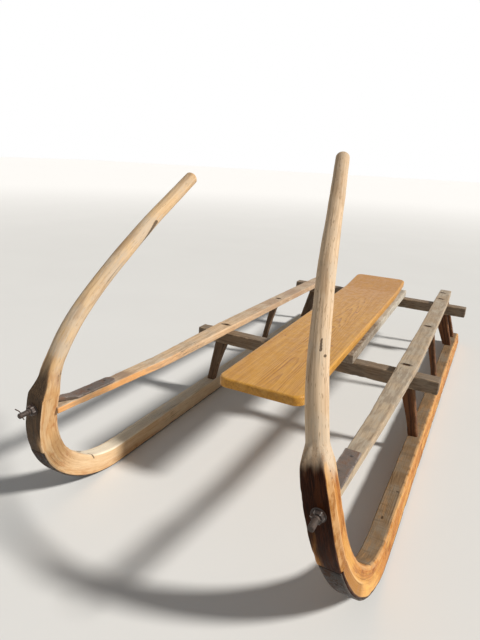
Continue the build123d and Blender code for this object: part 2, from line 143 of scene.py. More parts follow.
def lump(at, size, seed):
    """Smooth value noise from -1 to 1: hashed values on a lattice of that size, blended by 3t² - 2t³."""
    place = at / size + 4096.0
    cell = np.floor(place).astype(np.int64)
    part = place - cell
    part = part * part * (3 - 2 * part)
    total = zeros(at.shape[:-1])
    for corner in np.ndindex(2, 2, 2):
        key = cell + corner
        value = key[..., 0] * 73856093 ^ key[..., 1] * 19349663 ^ key[..., 2] * 83492791 ^ seed * 40503
        value = ((value ^ (value >> 13)) * 1274126177) & 0xFFFFFFFF
        value = ((value ^ (value >> 15)) * 2246822519) & 0xFFFFFFFF
        total += np.prod(np.where(corner, part, 1 - part), axis=-1) * (value / 2147483648.0 - 1)
    return total


def deck_points(x, y, above):
    """Points over the tilted deck: across, along and above it."""
    return points(x, FIRST, DECK_HEIGHT) + points(y - FIRST) * DECK_Y + points(above) * DECK_Z


def deck_z(y, above=0.0):
    """Height of the plane that lies above the deck, at a place along the sled."""
    return DECK_HEIGHT - math.tan(FALL) * (y - FIRST) + above / math.cos(FALL)


def spaced(length, step, radius):
    """Distances along a bar: close together in its rounded ends, a step apart between them."""
    turn = radius * (1 - cos(linspace(0, pi / 2, 5)))
    middle = linspace(radius, length - radius, max(2, round((length - 2 * radius) / step) + 1))
    return np.unique(np.round(join(turn, middle, length - turn), 7))


def end_inset(distance, radius, length=math.inf):
    """How far a section draws in near a bar's ends: r - sqrt(r² - (r - d)²) within r of an end."""
    near = clip(radius - minimum(distance, length - distance), 0, radius)
    return radius - np.sqrt(radius * radius - near * near)


# Shells: closed surfaces with what the finishes need to know about each point

def shell(rings, place, grain, wear, holes=(), capped=True):
    """Rings joined by four-cornered faces, a fan over each end. Holes are windows left open in the
    skin, (first and last ring, first and last point, depth), each sunk by its depth to a flat floor.
    Rings that close up on a line need no fans: capped is then False."""
    count, around = rings.shape[:2]
    total = count * around + 2
    index = np.arange(total - 2).reshape(count, around)
    following = np.roll(index, -1, axis=1)
    kept = ones((count - 1, around), bool)
    known = {"points": rings, "place": place, "grain": grain, "wear": wear[..., None]}
    known = {key: [v.reshape(total - 2, -1), v[[0, -1]].mean(axis=1)] for key, v in known.items()}
    known["wear"][1] *= 0.0
    walls, fans = [], [points(total - 2, index[0], following[0]), points(total - 1, following[-1], index[-1])]
    if not capped:
        fans = [zeros((0, 3), int)]
    for first, last, left, right, depth in holes:
        kept[first:last, left:right] = False
        rim = join(index[first, left:right], index[first:last, right], index[last, left + 1:right + 1][::-1],
                   index[first + 1:last + 1, left][::-1])
        for key, values in known.items():
            sunk = values[0][rim] - (depth if key == "points" else 0.0)
            # sunk points get a wear of -1: the plank finish paints them near black as painted shade in the recess
            if key == "wear":
                sunk = full(sunk.shape, -1.0)
            values += [sunk, sunk.mean(axis=0)[None]]
        low = total + np.arange(len(rim))
        walls.append(points(rim, np.roll(rim, -1), np.roll(low, -1), low))
        fans.append(points(low, np.roll(low, -1), total + len(rim)))
        total += len(rim) + 1
    walls.insert(0, points(index[:-1], index[1:], following[1:], following[:-1])[kept])
    made = {key: np.concatenate(values) for key, values in known.items()}
    return dict(made, walls=np.concatenate(walls), fans=np.concatenate(fans))


def piece(name, shells, stands_for, finish, sign=1, crease=38.0):
    """One object at the origin from shells, mirrored in X where sign is -1: doubles merged, faces
    turned outwards, creases kept sharp."""
    starts = np.cumsum([0] + [len(s["points"]) for s in shells[:-1]])
    whole = {key: np.concatenate([s[key] for s in shells]) for key in ("points", "place", "grain", "wear")}
    faces = sum([(s[key] + at).tolist() for s, at in zip(shells, starts) for key in ("walls", "fans")], [])
    mesh = bpy.data.meshes.new(name)
    mesh.from_pydata((whole["points"] * (sign, 1, 1)).tolist(), [], faces)
    for key, kind, field in (("place", "FLOAT_VECTOR", "vector"), ("grain", "FLOAT_VECTOR", "vector"),
                             ("wear", "FLOAT", "value")):
        layer = mesh.attributes.new(key, kind, "POINT")
        layer.data.foreach_set(field, whole[key].astype(np.float32).ravel())
    work = bmesh.new()
    work.from_mesh(mesh)
    bmesh.ops.remove_doubles(work, verts=work.verts, dist=1e-6)
    bmesh.ops.recalc_face_normals(work, faces=work.faces)
    work.to_mesh(mesh)
    work.free()
    mesh.shade_smooth()
    mesh.set_sharp_from_angle(angle=math.radians(crease))
    mesh.materials.append(finish)
    made = bpy.data.objects.new(name, mesh)
    bpy.context.scene.collection.objects.link(made)
    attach(made, "root")
    if stands_for:
        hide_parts(*stands_for)


def section_rings(corners, cuts, weights, spread=None):
    """Closed outlines from four corners each, (n, 4, 3).

    Corner j is cut by cuts[:, j] metres along the edge before and the edge after it, and bridged by
    ((1-t)²P + 2w t(1-t)C + t²Q) / ((1-t)² + 2w t(1-t) + t²): flat at w = 0, a circle's quarter at 0.707.
    spread gives the places of the points on the first side, from 0 to 1. Returns rings and wear, which
    is 1 on short cuts and on both ridges of a flat one, and fades with the distance from them."""
    cuts, weights = np.broadcast_to(cuts, corners.shape[:2] + (2,)), np.broadcast_to(weights, corners.shape[:2])
    t = linspace(0, 1, PER_CORNER)[None, :, None]
    even = linspace(0, 1, PER_SIDE + 2)[None, 1:-1]
    edge = points(1 - ease(cuts.min(axis=-1), 0.006, 0.014))
    ridge = maximum(edge, points(1 - ease(weights, 0.15, 0.45)))
    rings, wear = [], []
    for j in range(4):
        k = (j + 1) % 4
        here, after = corners[:, j], corners[:, k]
        start = here + unit(corners[:, j - 1] - here) * cuts[:, j, :1]
        end = here + unit(after - here) * cuts[:, j, 1:]
        side_end = after + unit(here - after) * cuts[:, k, :1]
        shares = (1 - t) ** 2, 2 * weights[:, j, None, None] * t * (1 - t), t ** 2
        rings.append(sum(share * spot[:, None] for share, spot in zip(shares, (start, here, end))) / sum(shares))
        share = even if j or spread is None else spread
        rings.append(end[:, None] * (1 - share[..., None]) + side_end[:, None] * share[..., None])
        length = np.linalg.norm(side_end - end, axis=-1)[:, None] / WEAR_REACH
        wear.append(edge[:, j] + (ridge[:, j] - edge[:, j]) * (2 * t[..., 0] - 1) ** 8)
        wear.append(maximum(ridge[:, j] * np.exp(-share * length), ridge[:, k] * np.exp((share - 1) * length)))
    return np.concatenate(rings, axis=1), np.concatenate(wear, axis=1)


def knowledge(corners, rings, path):
    """place: across and up from -1 to 1, and the distance along. grain: the same three in metres."""
    across = (corners[:, 0] + corners[:, 3] - corners[:, 1] - corners[:, 2]) / 4
    up = (corners[:, 0] + corners[:, 1] - corners[:, 2] - corners[:, 3]) / 4
    offset = rings - corners.mean(axis=1)[:, None]
    grain = points(*[(offset * unit(side)[:, None]).sum(-1) for side in (across, up)], path[:, None])
    half = points(np.linalg.norm(across, axis=-1), np.linalg.norm(up, axis=-1), 1.0)
    return grain / maximum(half[:, None], 1e-6), grain


def outward(rings):
    """Unit normals of the skin, pointing away from the sections' middles."""
    around = np.roll(rings, -1, axis=1) - np.roll(rings, 1, axis=1)
    normal = unit(np.cross(np.gradient(rings, axis=0), around))
    return normal * np.sign(((rings - rings.mean(axis=1, keepdims=True)) * normal).sum())


def hewn(rings, wear, seed, wave=0.0003, wave_size=0.045, chip=0.0008, chip_size=0.016):
    """Skin moved along its normals: slow waves of the plane or knife, and bites out of worn edges."""
    stretch = rings * (1.0, 0.4, 1.0)
    shift = wave * (lump(stretch, wave_size, seed) + 0.4 * lump(stretch, wave_size / 3, seed + 1))
    bite = ease(lump(rings, chip_size, seed + 2), 0.15, 0.75) + 0.5 * ease(lump(rings, 0.05, seed + 3), 0.1, 0.8)
    return rings + outward(rings) * points(shift - chip * wear * bite)


def skin(corners, cuts, weights, path, seed, spread=None, holes=(), swell=None, **look):
    """Shell over sections given by their corners: edges cut, swollen by a function of rings, hewn."""
    rings, wear = section_rings(corners, cuts, weights, spread)
    place, grain = knowledge(corners, rings, path)
    if swell:
        rings = swell(rings)
    return shell(hewn(rings, wear, seed, **look), place, grain, wear, holes)


def box(middle, half, rise):
    """Corners of four-sided sections from their middle and their half sides."""
    return np.stack([middle + half + rise, middle - half + rise, middle - half - rise, middle + half - rise], 1)


def bar(middle, across, up, width, height, cut, path, seed, **look):
    """Shell of a rectangular bar along a path, with its four edges cut by the same length."""
    return skin(box(middle, points(width / 2) * across, points(height / 2) * up), cut, 0.65, path, seed, **look)


def turned(middle, axis, profile, around=28):
    """Shell turned round an axis from (distance along it, radius) pairs."""
    axis = unit(array(axis, float))
    across = unit(np.cross(UPWARD if abs(axis[2]) < 0.9 else RIGHTWARD, axis))
    angle = linspace(0, 2 * pi, around, endpoint=False)[None]
    along, radius = array(profile, float).T[..., None]
    grain = points(radius * cos(angle), radius * sin(angle), along)
    rings = middle + grain @ np.stack([across, np.cross(axis, across), axis])
    return shell(rings, grain * (60, 60, 1), grain, zeros(rings.shape[:2]))


def wire(path, radius, around=12):
    """Round wire along a path of points; its sections stay square to the path."""
    across = unit(np.cross(unit(np.gradient(path, axis=0)), (0.31, 0.9, 0.28)))
    up = np.cross(unit(np.gradient(path, axis=0)), across)
    angle = linspace(0, 2 * pi, around, endpoint=False)[None, :, None]
    size = full((len(path), 1, 1), radius)
    size[[0, -1]] *= 0.5
    rings = path[:, None] + size * (cos(angle) * across[:, None] + sin(angle) * up[:, None])
    grain = rings - path[:1, None]
    return shell(rings, grain, grain, zeros(rings.shape[:2]))


# Crooks and shoes

def side_x(z, inner):
    """Distance of the crook's outer or inner side from the sled's middle, at a height."""
    low = minimum(z, CHEEK_FOOT)
    side = BED_INNER - INNER_SLOPE * maximum(low - LEAN_START, 0) if inner else TRACK - OUTER_SLOPE * low
    return side - HORN_LEAN * maximum(z - CHEEK_FOOT, 0)


def bend(side):
    """Radius, Y and Z of the centre, of the bend's outside and of its inside."""
    outer, inner = BEND_RADIUS[side], BEND_RADIUS[side] - BEND_THINNING[side]
    return (outer, CHEEK_FRONT + outer, outer), (inner, CHEEK_BACK + inner, BED_HEIGHT + inner)


def on_circle(circle, turn, larger=0.0):
    """Points (Y, Z) on a bend's circle, turned in radians from its lowest point to the front."""
    radius, y, z = circle
    return points(y - (radius + larger) * sin(turn), z - (radius + larger) * cos(turn))


def horn_frames(distance):
    """Middle line of the horn with its across and backward directions: two arcs and a straight in
    side view; from the front x = x0 - lean h - h² / 2R of the height h above the cheek's foot."""
    y, z, angle, left = (CHEEK_FRONT + CHEEK_BACK + BED_STEP) / 2 + 0.002, CHEEK_FOOT, 0.0, distance
    for radius, sweep in HORN_ARCS:
        go = clip(left, 0, radius * sweep)
        end = angle + go / radius
        y = y + radius * (cos(angle) - cos(end))
        z = z + radius * (sin(end) - sin(angle))
        angle, left = end, left - go
    y, z = y + left * sin(angle), z + left * cos(angle)
    rise = z - CHEEK_FOOT
    lean = HORN_LEAN + rise / HORN_SWEEP
    x = HORN_OFFSET - HORN_LEAN * rise - rise ** 2 / (2 * HORN_SWEEP)
    across = unit(points(1.0, 0.0, lean))
    return points(x, y, z), across, np.cross(unit(points(-lean * cos(angle), sin(angle), cos(angle))), across)


def quad(low, high, inset):
    """Corners of upright sections from their lower or front and their upper or back points (Y, Z);
    both sides are drawn in by the inset."""
    corners = []
    for yz, inner in ((low, False), (low, True), (high, True), (high, False)):
        x = side_x(yz[:, 1], inner) + (inset if inner else -inset)
        corners.append(points(x, yz[:, 0], yz[:, 1]))
    return np.stack(corners, 1)


def grown_crook(side, seed):
    """Runner bed, bend, cheek and horn as one skin.

    Sections: rectangles of the bed, wedges between the bend's two circles, then rounded rectangles
    across the horn's middle line, whose corner radius grows until they are all but round."""
    outer, inner = bend(side)
    reach = inner[0] - BED_STEP
    top = math.acos((inner[2] - outer[2]) / reach)

    distance = join(REAR_ROUNDING * (1 - cos(linspace(0, pi / 2, 8))),
                    np.arange(0.024, REAR - outer[1] - 0.004, 0.007))
    rear_in = end_inset(distance, 0.003)
    bed_low = points(REAR - distance, SHOE_THICKNESS + rear_in)
    bed_high = points(REAR - distance / (REAR - outer[1]) * (REAR - inner[1]),
                      BED_HEIGHT - end_inset(distance, REAR_ROUNDING))

    step = STEP_TURN / top
    notch = (SHOE_WRAP + SHOE_NOTCH / outer[0]) / (pi / 2)
    t = np.unique(join(linspace(0, 1, 110), notch - 4e-4, notch + 4e-4))
    bend_low = on_circle(outer, t * pi / 2, np.where(t < notch, -SHOE_THICKNESS, 0.0))
    bend_high = on_circle(inner, t * top, -BED_STEP * ease(t, step - 0.01, step + 0.13))

    z = linspace(outer[2] + 0.004, CHEEK_TOP, max(3, int((CHEEK_TOP - outer[2]) / 0.005)))
    cheek_back = inner[1] - np.sqrt(reach ** 2 - minimum(z - inner[2], 0) ** 2)

    corners = quad(join(bed_low, bend_low, points(CHEEK_FRONT, z)), join(bed_high, bend_high, points(cheek_back, z)),
                   join(rear_in, zeros(len(t) + len(z))))
    count = len(corners)
    bevelled = 1.0 * (np.arange(count) >= len(distance) + np.searchsorted(t, notch))
    rough = join(zeros(len(distance)), ease(t, step, step + 0.1), ones(len(z)))
    cuts = np.repeat(points(0.003, 0.003, 0.004 + 0.001 * rough, 0.006 - 0.001 * rough)[..., None], 2, axis=2)
    cuts[:, 0] += points(bevelled) * (BEVEL_SIDE - 0.003, BEVEL_FRONT - 0.003)
    weights = points(0.6 - 0.5 * bevelled, 0.6, 0.6, 0.6)

    end = sum(radius * sweep for radius, sweep in HORN_ARCS) + HORN_GRIP[side]
    dome = end - TIP_DOME
    along = join(np.arange(0.045, 0.150, 0.003), linspace(0.150, dome, 110),
                 dome + TIP_DOME * sin(linspace(0.0, pi / 2, 14)[1:-1]))
    table = array(SHOULDER[side]).T
    width, depth, corner, forward, outwards = (
        np.convolve(np.pad(np.interp(along, table[0], row), 2, "edge"), full(5, 0.2), "valid") for row in table[1:])
    taper = clip((along - NECK_END) / (end - NECK_END), 0, 1)
    limit = np.where(along > dome, 2 * np.sqrt(TIP_DOME ** 2 - clip(along - dome, 0, TIP_DOME) ** 2), math.inf)
    width = minimum(width + taper * (TIP_WIDTH - NECK_WIDTH), limit)
    depth = minimum(depth + taper * (TIP_DEPTH - NECK_DEPTH), limit)
    corner = np.where(along > NECK_END, depth / 2 - 0.0009, minimum(corner, depth / 2 - 0.0009))
    corner = np.where(along > dome, depth / 2 * 0.97, corner)
    middle, across, backward = horn_frames(along)
    middle = middle + points(outwards) * across - points(forward) * backward
    fading = 1 - ease(middle[:, 2], 0.440, 0.500)
    horn_cuts = np.tile(corner[:, None, None], (1, 4, 2))
    horn_cuts[:, 0] = maximum(points(corner), points(fading) * (BEVEL_SIDE, BEVEL_FRONT))
    weight = 0.6 + 0.107 * ease(corner, 0.003, 0.012)

    corners = join(corners, box(middle, points(width / 2) * across, points(-depth / 2) * backward))
    weights = join(weights, points(0.1 + (weight - 0.1) * (1 - fading), weight, weight, weight))
    path = join(0, np.cumsum(np.linalg.norm(np.diff(corners.mean(axis=1), axis=0), axis=-1)))
    path -= path[count]

    def knobbly(rings):
        stretch = rings * (1.0, 0.6, 0.6)
        shift = lump(stretch, 0.060, seed) + 0.35 * lump(stretch, 0.018, seed + 4)
        size = (0.00035 + 0.0006 * ease(path, 0.03, 0.12)) * ease(end - 0.04 - path, -0.03, 0.02)
        return rings + outward(rings) * points(size[:, None] * shift)

    return skin(corners, join(cuts, horn_cuts), weights, path, seed, swell=knobbly,
                wave=0.00015, chip=0.0012, chip_size=0.034)


def iron_shoe(side, seed):
    """Strip under the bed and round the front of the bend, its edges worn round."""
    outer = bend(side)[0]
    flat = REAR - outer[1]
    length = flat + outer[0] * SHOE_WRAP
    s = spaced(length, 0.012, 0.0015)
    turn = clip((s - flat) / outer[0], 0, None)
    inset = end_inset(s, 0.0015, length)
    y = REAR - minimum(s, flat)
    low = np.where(turn[:, None] > 0, on_circle(outer, turn, -inset), points(y, inset))
    high = np.where(turn[:, None] > 0, on_circle(outer, turn, -SHOE_THICKNESS), points(y, SHOE_THICKNESS))
    return skin(quad(low, high, SHOE_INSET + inset), points((0.0014, 0.0014, 0.0006, 0.0006)), 0.7, s - flat, seed,
                wave=0.00012, wave_size=0.02, chip=0.0003)


def nail_head(middle, normal, radius, height):
    """Low dome: its height falls off as the square of the distance from its middle."""
    share = sin(linspace(0.08, pi / 2, 6))[::-1]
    profile = [(-0.002, radius * 0.6)] + [(height * (1 - s * s), radius * s) for s in share]
    return turned(middle, normal, profile, 16)


def shoe_nails(side):
    """Flattened nail heads on the upturned end of a shoe."""
    heads = []
    for turn in np.radians((12.0, 36.0, 60.0)):
        y, z = on_circle(bend(side)[0], turn)
        x = (side_x(z, False) + side_x(z, True)) / 2
        heads.append(nail_head((x, y, z), (0.0, -sin(turn), -cos(turn)), 0.0055, 0.0011))
    return heads


# Rails, posts, beams and boards

def tenon_x(head, z):
    """Middle of a tenon from the sled's middle at a height, for the place of its post's head."""
    return TENON_FOOT - (TENON_FOOT - head) / (DECK_HEIGHT + RAIL_HEIGHT / 2 - BED_HEIGHT) * (z - BED_HEIGHT)


def slot_middle(y):
    """Middle line of the tenons' ends along a rail, at the rail's top."""
    at, head = array(list(STATIONS.values())).T[:2]
    return np.interp(y, at, tenon_x(head, deck_z(at, RAIL_HEIGHT)))


def side_rail(side, seed):
    """Plank on edge-cut sections; its top has a sunk slot over each tenon."""
    start, end = CHEEK_BACK - 0.006, REAR - 0.004
    half = TENON_THICKNESS / 2 + SLOT_PLAY
    slots = array([at for at, *_ in STATIONS.values()])
    marks = (slots[:, None] + (-half, 0, half)).ravel()
    y = np.unique(np.round(join(start + spaced(end - start, 0.012, 0.002), marks), 6))
    away = np.abs(y[:, None] - marks)
    y = y[((away > 0.0025) | (away < 1e-5)).all(axis=1)]
    inner, outer = (np.interp(y, RAIL_SIDES[:, 0], RAIL_SIDES[:, k]) for k in (1, 2))
    ahead = maximum(RAIL_CREASE - y, 0) / RAIL_FRONT
    height = RAIL_HEIGHT - (RAIL_HEIGHT - RAIL_END_HEIGHT) * minimum(ahead, 1.06)
    middle = deck_points((inner + outer) / 2, y, RAIL_HEIGHT + RAIL_RISE[side] * ahead - height / 2)
    inset = end_inset(y - start, 0.002, end - start)
    width = outer - inner - 2 * inset
    flat = width - 2 * RAIL_CUT
    near, far = (((inner + outer) / 2 + flat / 2 - slot_middle(y) + way * (TENON_WIDTH / 2 + SLOT_PLAY)) / flat
                 for way in (-1, 1))
    spread = points(near * 0.35, near * 0.7, near, (near + far) / 2, far, far + (1 - far) * 0.35, far + (1 - far) * 0.7)
    holes = [(*np.searchsorted(y, (at - half - 1e-5, at + half - 1e-5)), PER_CORNER + 2, PER_CORNER + 4,
              SLOT_DEPTH * DECK_Z) for at in slots]
    return bar(middle, RIGHTWARD, DECK_Z, width, height - 2 * inset, RAIL_CUT, y, seed, spread=spread, holes=holes,
               wave=0.0002, chip=0.0009)


def crossbeam(station, seed):
    """Square bar across the sled, with drawn-in ends."""
    s = spaced(2 * BEAM_HALF, 0.010, 0.005)
    inset = end_inset(s, 0.005, 2 * BEAM_HALF)
    return bar(deck_points(s - BEAM_HALF, STATIONS[station][0], -BEAM_HEIGHT / 2), DECK_Y, DECK_Z,
               BEAM_WIDTH - 2 * inset, BEAM_HEIGHT - 2 * inset, 0.0032, s - BEAM_HALF, seed, wave=0.0004, chip=0.0014)


def post_shells(station, seed):
    """Post with a hollowed inner side, and the end of its tenon in the rail's slot."""
    y, head, foot_width, shoulder_width, hollow = STATIONS[station]
    top = deck_z(y, -BEAM_HEIGHT if station in BEAMS else 0.0)
    slope = (POST_OUTER_FOOT - head - POST_HEAD_HALF) / (DECK_HEIGHT - BED_HEIGHT)
    length, whole = top + 0.0006 - BED_HEIGHT, top + POST_PAST - BED_HEIGHT
    s = spaced(length, 0.008, 0.001)
    t = s / whole
    outer = POST_OUTER_FOOT - slope * s
    foot, shoulder = POST_OUTER_FOOT - foot_width, POST_OUTER_FOOT - slope * whole - shoulder_width
    inner = foot + (shoulder - foot) * t + hollow * 4 * t * (1 - t)
    inset = end_inset(s, 0.001, length)
    corners = box(points((outer + inner) / 2, y, BED_HEIGHT + s), points((outer - inner) / 2 - inset) * RIGHTWARD,
                  points(inset - POST_THICKNESS / 2) * REARWARD)
    body = skin(corners, points((0.0068, 0.0030, 0.0030, 0.0068)), 0.69, s, seed,
                wave=0.0004, wave_size=0.03, chip=0.0007)
    z = linspace(top + 0.004, deck_z(y, RAIL_HEIGHT - TENON_BELOW), 5)
    return [body, bar(points(tenon_x(head, z), y, z), RIGHTWARD, REARWARD, TENON_WIDTH, TENON_THICKNESS, 0.0012, z,
                      seed, chip=0.0004)]


def board(width, front, rear, thickness, corner, top_edge, bottom_edge, offset, above, seed, crease=math.inf):
    """Board as one closed outline carried up its edge: for each inset d the outline is the rounded
    rectangle drawn in by d, from the underside's middle line round the edge to the top's.
    Behind a crease the board rises by slope ((e + sqrt(e² + k²)) / 2)."""
    half, long, centre = width / 2, (rear - front) / 2, (front + rear) / 2
    flat = array((1.0, 0.94, 0.8, 0.6, 0.4, 0.2, 0.1))
    quarter = linspace(0, pi / 2, 7)
    inset = join(half * flat, bottom_edge * (1 - sin(quarter)), top_edge * (1 - cos(quarter)), half * flat[::-1])
    height = join(0 * flat, bottom_edge * (1 - cos(quarter)), thickness - top_edge * (1 - sin(quarter)),
                  0 * flat + thickness)
    radius = maximum(corner - inset, 0)[:, None]
    reach = (half - inset)[:, None] - radius, maximum(long - inset, 1e-4)[:, None] - radius
    parts = []
    for index, (sx, sy) in enumerate(((1, -1), (1, 1), (-1, 1), (-1, -1))):
        x, y = sx * reach[0], sy * reach[1]
        turn = linspace(0, pi / 2, 9) + (index - 1) * pi / 2
        parts.append(points(x + radius * cos(turn), y + radius * sin(turn)))
        if index % 2:
            parts.append(points(x - 2 * x * linspace(0, 1, 12)[1:-1], y + sy * radius))
        else:
            parts.append(points(x + sx * radius, y - 2 * y * linspace(0, 1, 122)[1:-1]))
    outline = np.concatenate(parts, axis=1)
    x, y, z = outline[..., 0], outline[..., 1] + centre, height[:, None]
    place, grain = points(x / half, 2 * z / thickness - 1, y), points(x, z - thickness / 2, y)
    edge = np.exp(-maximum(inset - top_edge, 0) / 0.005)[:, None] * ones(x.shape)
    stretch = points(x, y * 0.4, z)
    z = z + place[..., 1] * 0.0003 * lump(stretch, 0.05, seed)
    draw = edge * (0.0004 * ease(lump(stretch, 0.02, seed + 1), 0.1, 0.8) + 0.0003 * lump(stretch, 0.06, seed + 2))
    x, y = x - draw * x / half, y - draw * (y - centre) / long
    if crease < rear:
        z = z + TAIL_SLOPE * (y - crease + np.sqrt((y - crease) ** 2 + TAIL_SOFT ** 2)) / 2
    skew_x, skew_y = math.cos(BOARD_SKEW), math.sin(BOARD_SKEW)
    rings = deck_points(x * skew_x - y * skew_y + offset, x * skew_y + y * skew_x + FIRST, above + z)
    return shell(rings, place, grain, edge, capped=False)


# Iron on the rails

def stud_height(side):
    """Height of the drawbolt's stud."""
    return deck_z(CHEEK_BACK, RAIL_HEIGHT) + RAIL_RISE[side] + STUD_ABOVE_RAIL[side]


def on_strap(side, y, above, shift=0.0):
    """Points along the strap's middle line, above the rail, and the strap's upward normal."""
    slope = FALL + math.atan(RAIL_RISE[side] / RAIL_FRONT)
    upward = array((0.0, math.sin(slope), math.cos(slope)))
    crease = deck_points(RAIL_INNER + STRAP_WIDTH / 2 + shift, RAIL_CREASE, RAIL_HEIGHT)
    return crease + points(y - RAIL_CREASE) * (0.0, math.cos(slope), -math.sin(slope)) + above * upward, upward


def drawbolt(side, seed):
    """One forging: flat strap, a neck that turns square and then round, a threaded stud.

    In the thread the radius falls by depth |2 frac(y / pitch - angle / 2 pi) - 1|."""
    corner = STRAP_CORNER[side]
    front, rear = CHEEK_BACK + STRAP_NECK, CHEEK_BACK + STRAP_LENGTH[side]
    s = spaced(2 * (rear - front), 0.006, max(corner, 0.004))
    s = s[s <= rear - front - 0.001]
    strap, upward = on_strap(side, rear - s, STRAP_THICKNESS / 2)
    start = on_strap(side, front, STRAP_THICKNESS / 2)[0]
    stud_back = CHEEK_BACK + BED_STEP + 0.006
    t = linspace(0, 1, 14)
    swing = ease(t, 0, 1)
    neck = start + ((STUD_OFFSET, stud_back, stud_height(side)) - start) * points(0.35 * swing + 0.65 * t)
    shank = join(linspace(stud_back - 0.004, -1.172, 6), np.arange(-1.1735, THREAD_FRONT - 0.0001, -0.00025),
                 linspace(-1.1812, FRONT + STUD_END, 8), FRONT + 0.0007, FRONT)
    size = np.where(shank > THREAD_FRONT, STUD_ROUND, STUD_THIN) - 2 * clip(FRONT + STUD_END - shank, 0, STUD_END)
    line = join(strap, neck, points(STUD_OFFSET, shank, stud_height(side)))
    width = join(STRAP_WIDTH - 2 * end_inset(s, corner), STRAP_WIDTH + (STUD_ROUND - STRAP_WIDTH) * swing, size)
    height = join(STRAP_THICKNESS - 2 * end_inset(s, STRAP_CUT),
                  STRAP_THICKNESS + (STUD_ROUND - STRAP_THICKNESS) * t, size)
    cut = join(full(len(s), STRAP_CUT), STRAP_CUT + (0.0079 - STRAP_CUT) * ease(t, 0.45, 1.0), size / 2 * 0.985)
    up = np.tile(UPWARD, (len(line), 1))
    up[:len(s)] = upward
    corners = box(line, points(width / 2) * RIGHTWARD, points(height / 2) * up)
    rings, wear = section_rings(corners, cut[:, None, None], 0.707)
    place, grain = knowledge(corners, rings, line[:, 1])
    offset = rings - line[:, None]
    y = line[:, 1, None]
    threaded = ease(-y, *THREAD_START) * (1 - ease(-y, *THREAD_END))
    angle = np.arctan2(offset[..., 2], offset[..., 0])
    groove = np.abs(2 * np.mod(y / THREAD_PITCH - angle / (2 * pi), 1) - 1)
    rings = rings - unit(offset) * points(THREAD_DEPTH * groove * threaded)
    flat = points(np.arange(len(line)) < len(s) + 8)
    beaten = 0.00045 * lump(rings, 0.014, seed) + 0.00025 * lump(rings, 0.006, seed + 1)
    worn = 0.0005 * wear * ease(lump(rings, 0.012, 9), 0, 0.7)
    return shell(rings + outward(rings) * points(flat * (beaten - worn)), place, grain, wear * flat)


def strap_nails(side):
    """Two square-cut nails with beaten heads through the strap."""
    rear = CHEEK_BACK + STRAP_LENGTH[side]
    return [nail_head(*on_strap(side, rear - back, STRAP_THICKNESS - 0.0003, shift), 0.0052, 0.0017)
            for back, shift in ((0.030, 0.004), (0.105, -0.006))]


def washer(side):
    """Disc with softened rims, a little dished."""
    soft, rim, thick = 0.0006, WASHER_RADIUS, WASHER_THICKNESS
    profile = ((0.0002, 0.0086), (0.0, 0.0120), (0.0002, rim - soft), (soft, rim), (thick - soft, rim),
               (thick, rim - soft), (thick, 0.0086))
    return turned((STUD_OFFSET, WASHER_FRONT, stud_height(side)), REARWARD, profile, 48)


def hex_nut(side, seed):
    """Radius min(f / cos(a), cone): the hexagon's flats, cut by a 30 degree cone at both faces."""
    depth = NUT_HEIGHT * array((0.0, 0.02, 0.06, 0.12, 0.2, 0.35, 0.5, 0.65, 0.8, 0.88, 0.94, 0.98, 1.0))
    angle = linspace(0, 2 * pi, 72, endpoint=False)
    flats = (NUT_HALF - 0.0001) / cos(np.mod(angle, pi / 3) - pi / 6)
    cone = NUT_HALF - 0.0004 + minimum(depth, NUT_HEIGHT - depth) * 1.75
    bore = full((1, 72), 0.0080)
    radius = join(bore, minimum(flats, points(cone)), bore)
    depth = join(0.0, depth, NUT_HEIGHT - 0.0003)
    offset = points(radius * cos(angle), -depth[:, None], radius * sin(angle))
    middle = array((STUD_OFFSET, WASHER_FRONT, stud_height(side)))
    offset = offset + unit(offset) * points(0.00012 * lump(middle + offset, 0.004, seed))
    edge = np.exp(-np.abs(flats - radius.max()) / 0.0012) * ones(radius.shape)
    return shell(middle + offset, offset * 60, offset, edge)


def split_pin(side):
    """Bent wire through the bare end of the stud."""
    bends = array(((-0.006, 0.002, -0.012), (-0.003, 0.001, -0.008), (0.0, 0.0, 0.0), (0.003, -0.001, 0.008),
                   (0.006, -0.003, 0.012), (0.011, -0.005, 0.014), (0.015, -0.006, 0.0155)))
    path = points(*[np.interp(linspace(0, len(bends) - 1, 25), np.arange(len(bends)), way) for way in bends.T])
    return wire(path + (STUD_OFFSET, FRONT + 0.008, stud_height(side)), 0.0014)


# Finishes

class Flow:
    """A value on its way through a finish; its operators add Math nodes, so a formula reads as one."""

    def __init__(self, finish, socket):
        self.finish, self.socket = finish, socket

    def math(self, operation, *terms):
        return self.finish.node("ShaderNodeMath", {"operation": operation}, dict(enumerate(terms)))

    def __add__(self, other):
        return self.math("ADD", self, other)

    def __radd__(self, other):
        return self.math("ADD", other, self)

    def __sub__(self, other):
        return self.math("SUBTRACT", self, other)

    def __rsub__(self, other):
        return self.math("SUBTRACT", other, self)

    def __mul__(self, other):
        return self.math("MULTIPLY", self, other)

    def __rmul__(self, other):
        return self.math("MULTIPLY", other, self)

    def __truediv__(self, other):
        return self.math("DIVIDE", self, other)

    def __pow__(self, other):
        return self.math("POWER", self, other)

    def __neg__(self):
        return self.math("MULTIPLY", self, -1.0)

    def fraction(self):
        return self.math("FRACT", self)

    def size(self):
        return self.math("ABSOLUTE", self)

    def rise(self, low, high):
        """0 below low, 1 above high, smooth between."""
        return self.finish.node("ShaderNodeMapRange", {"interpolation_type": "SMOOTHSTEP"},
                                {"Value": self, "From Min": low, "From Max": high})


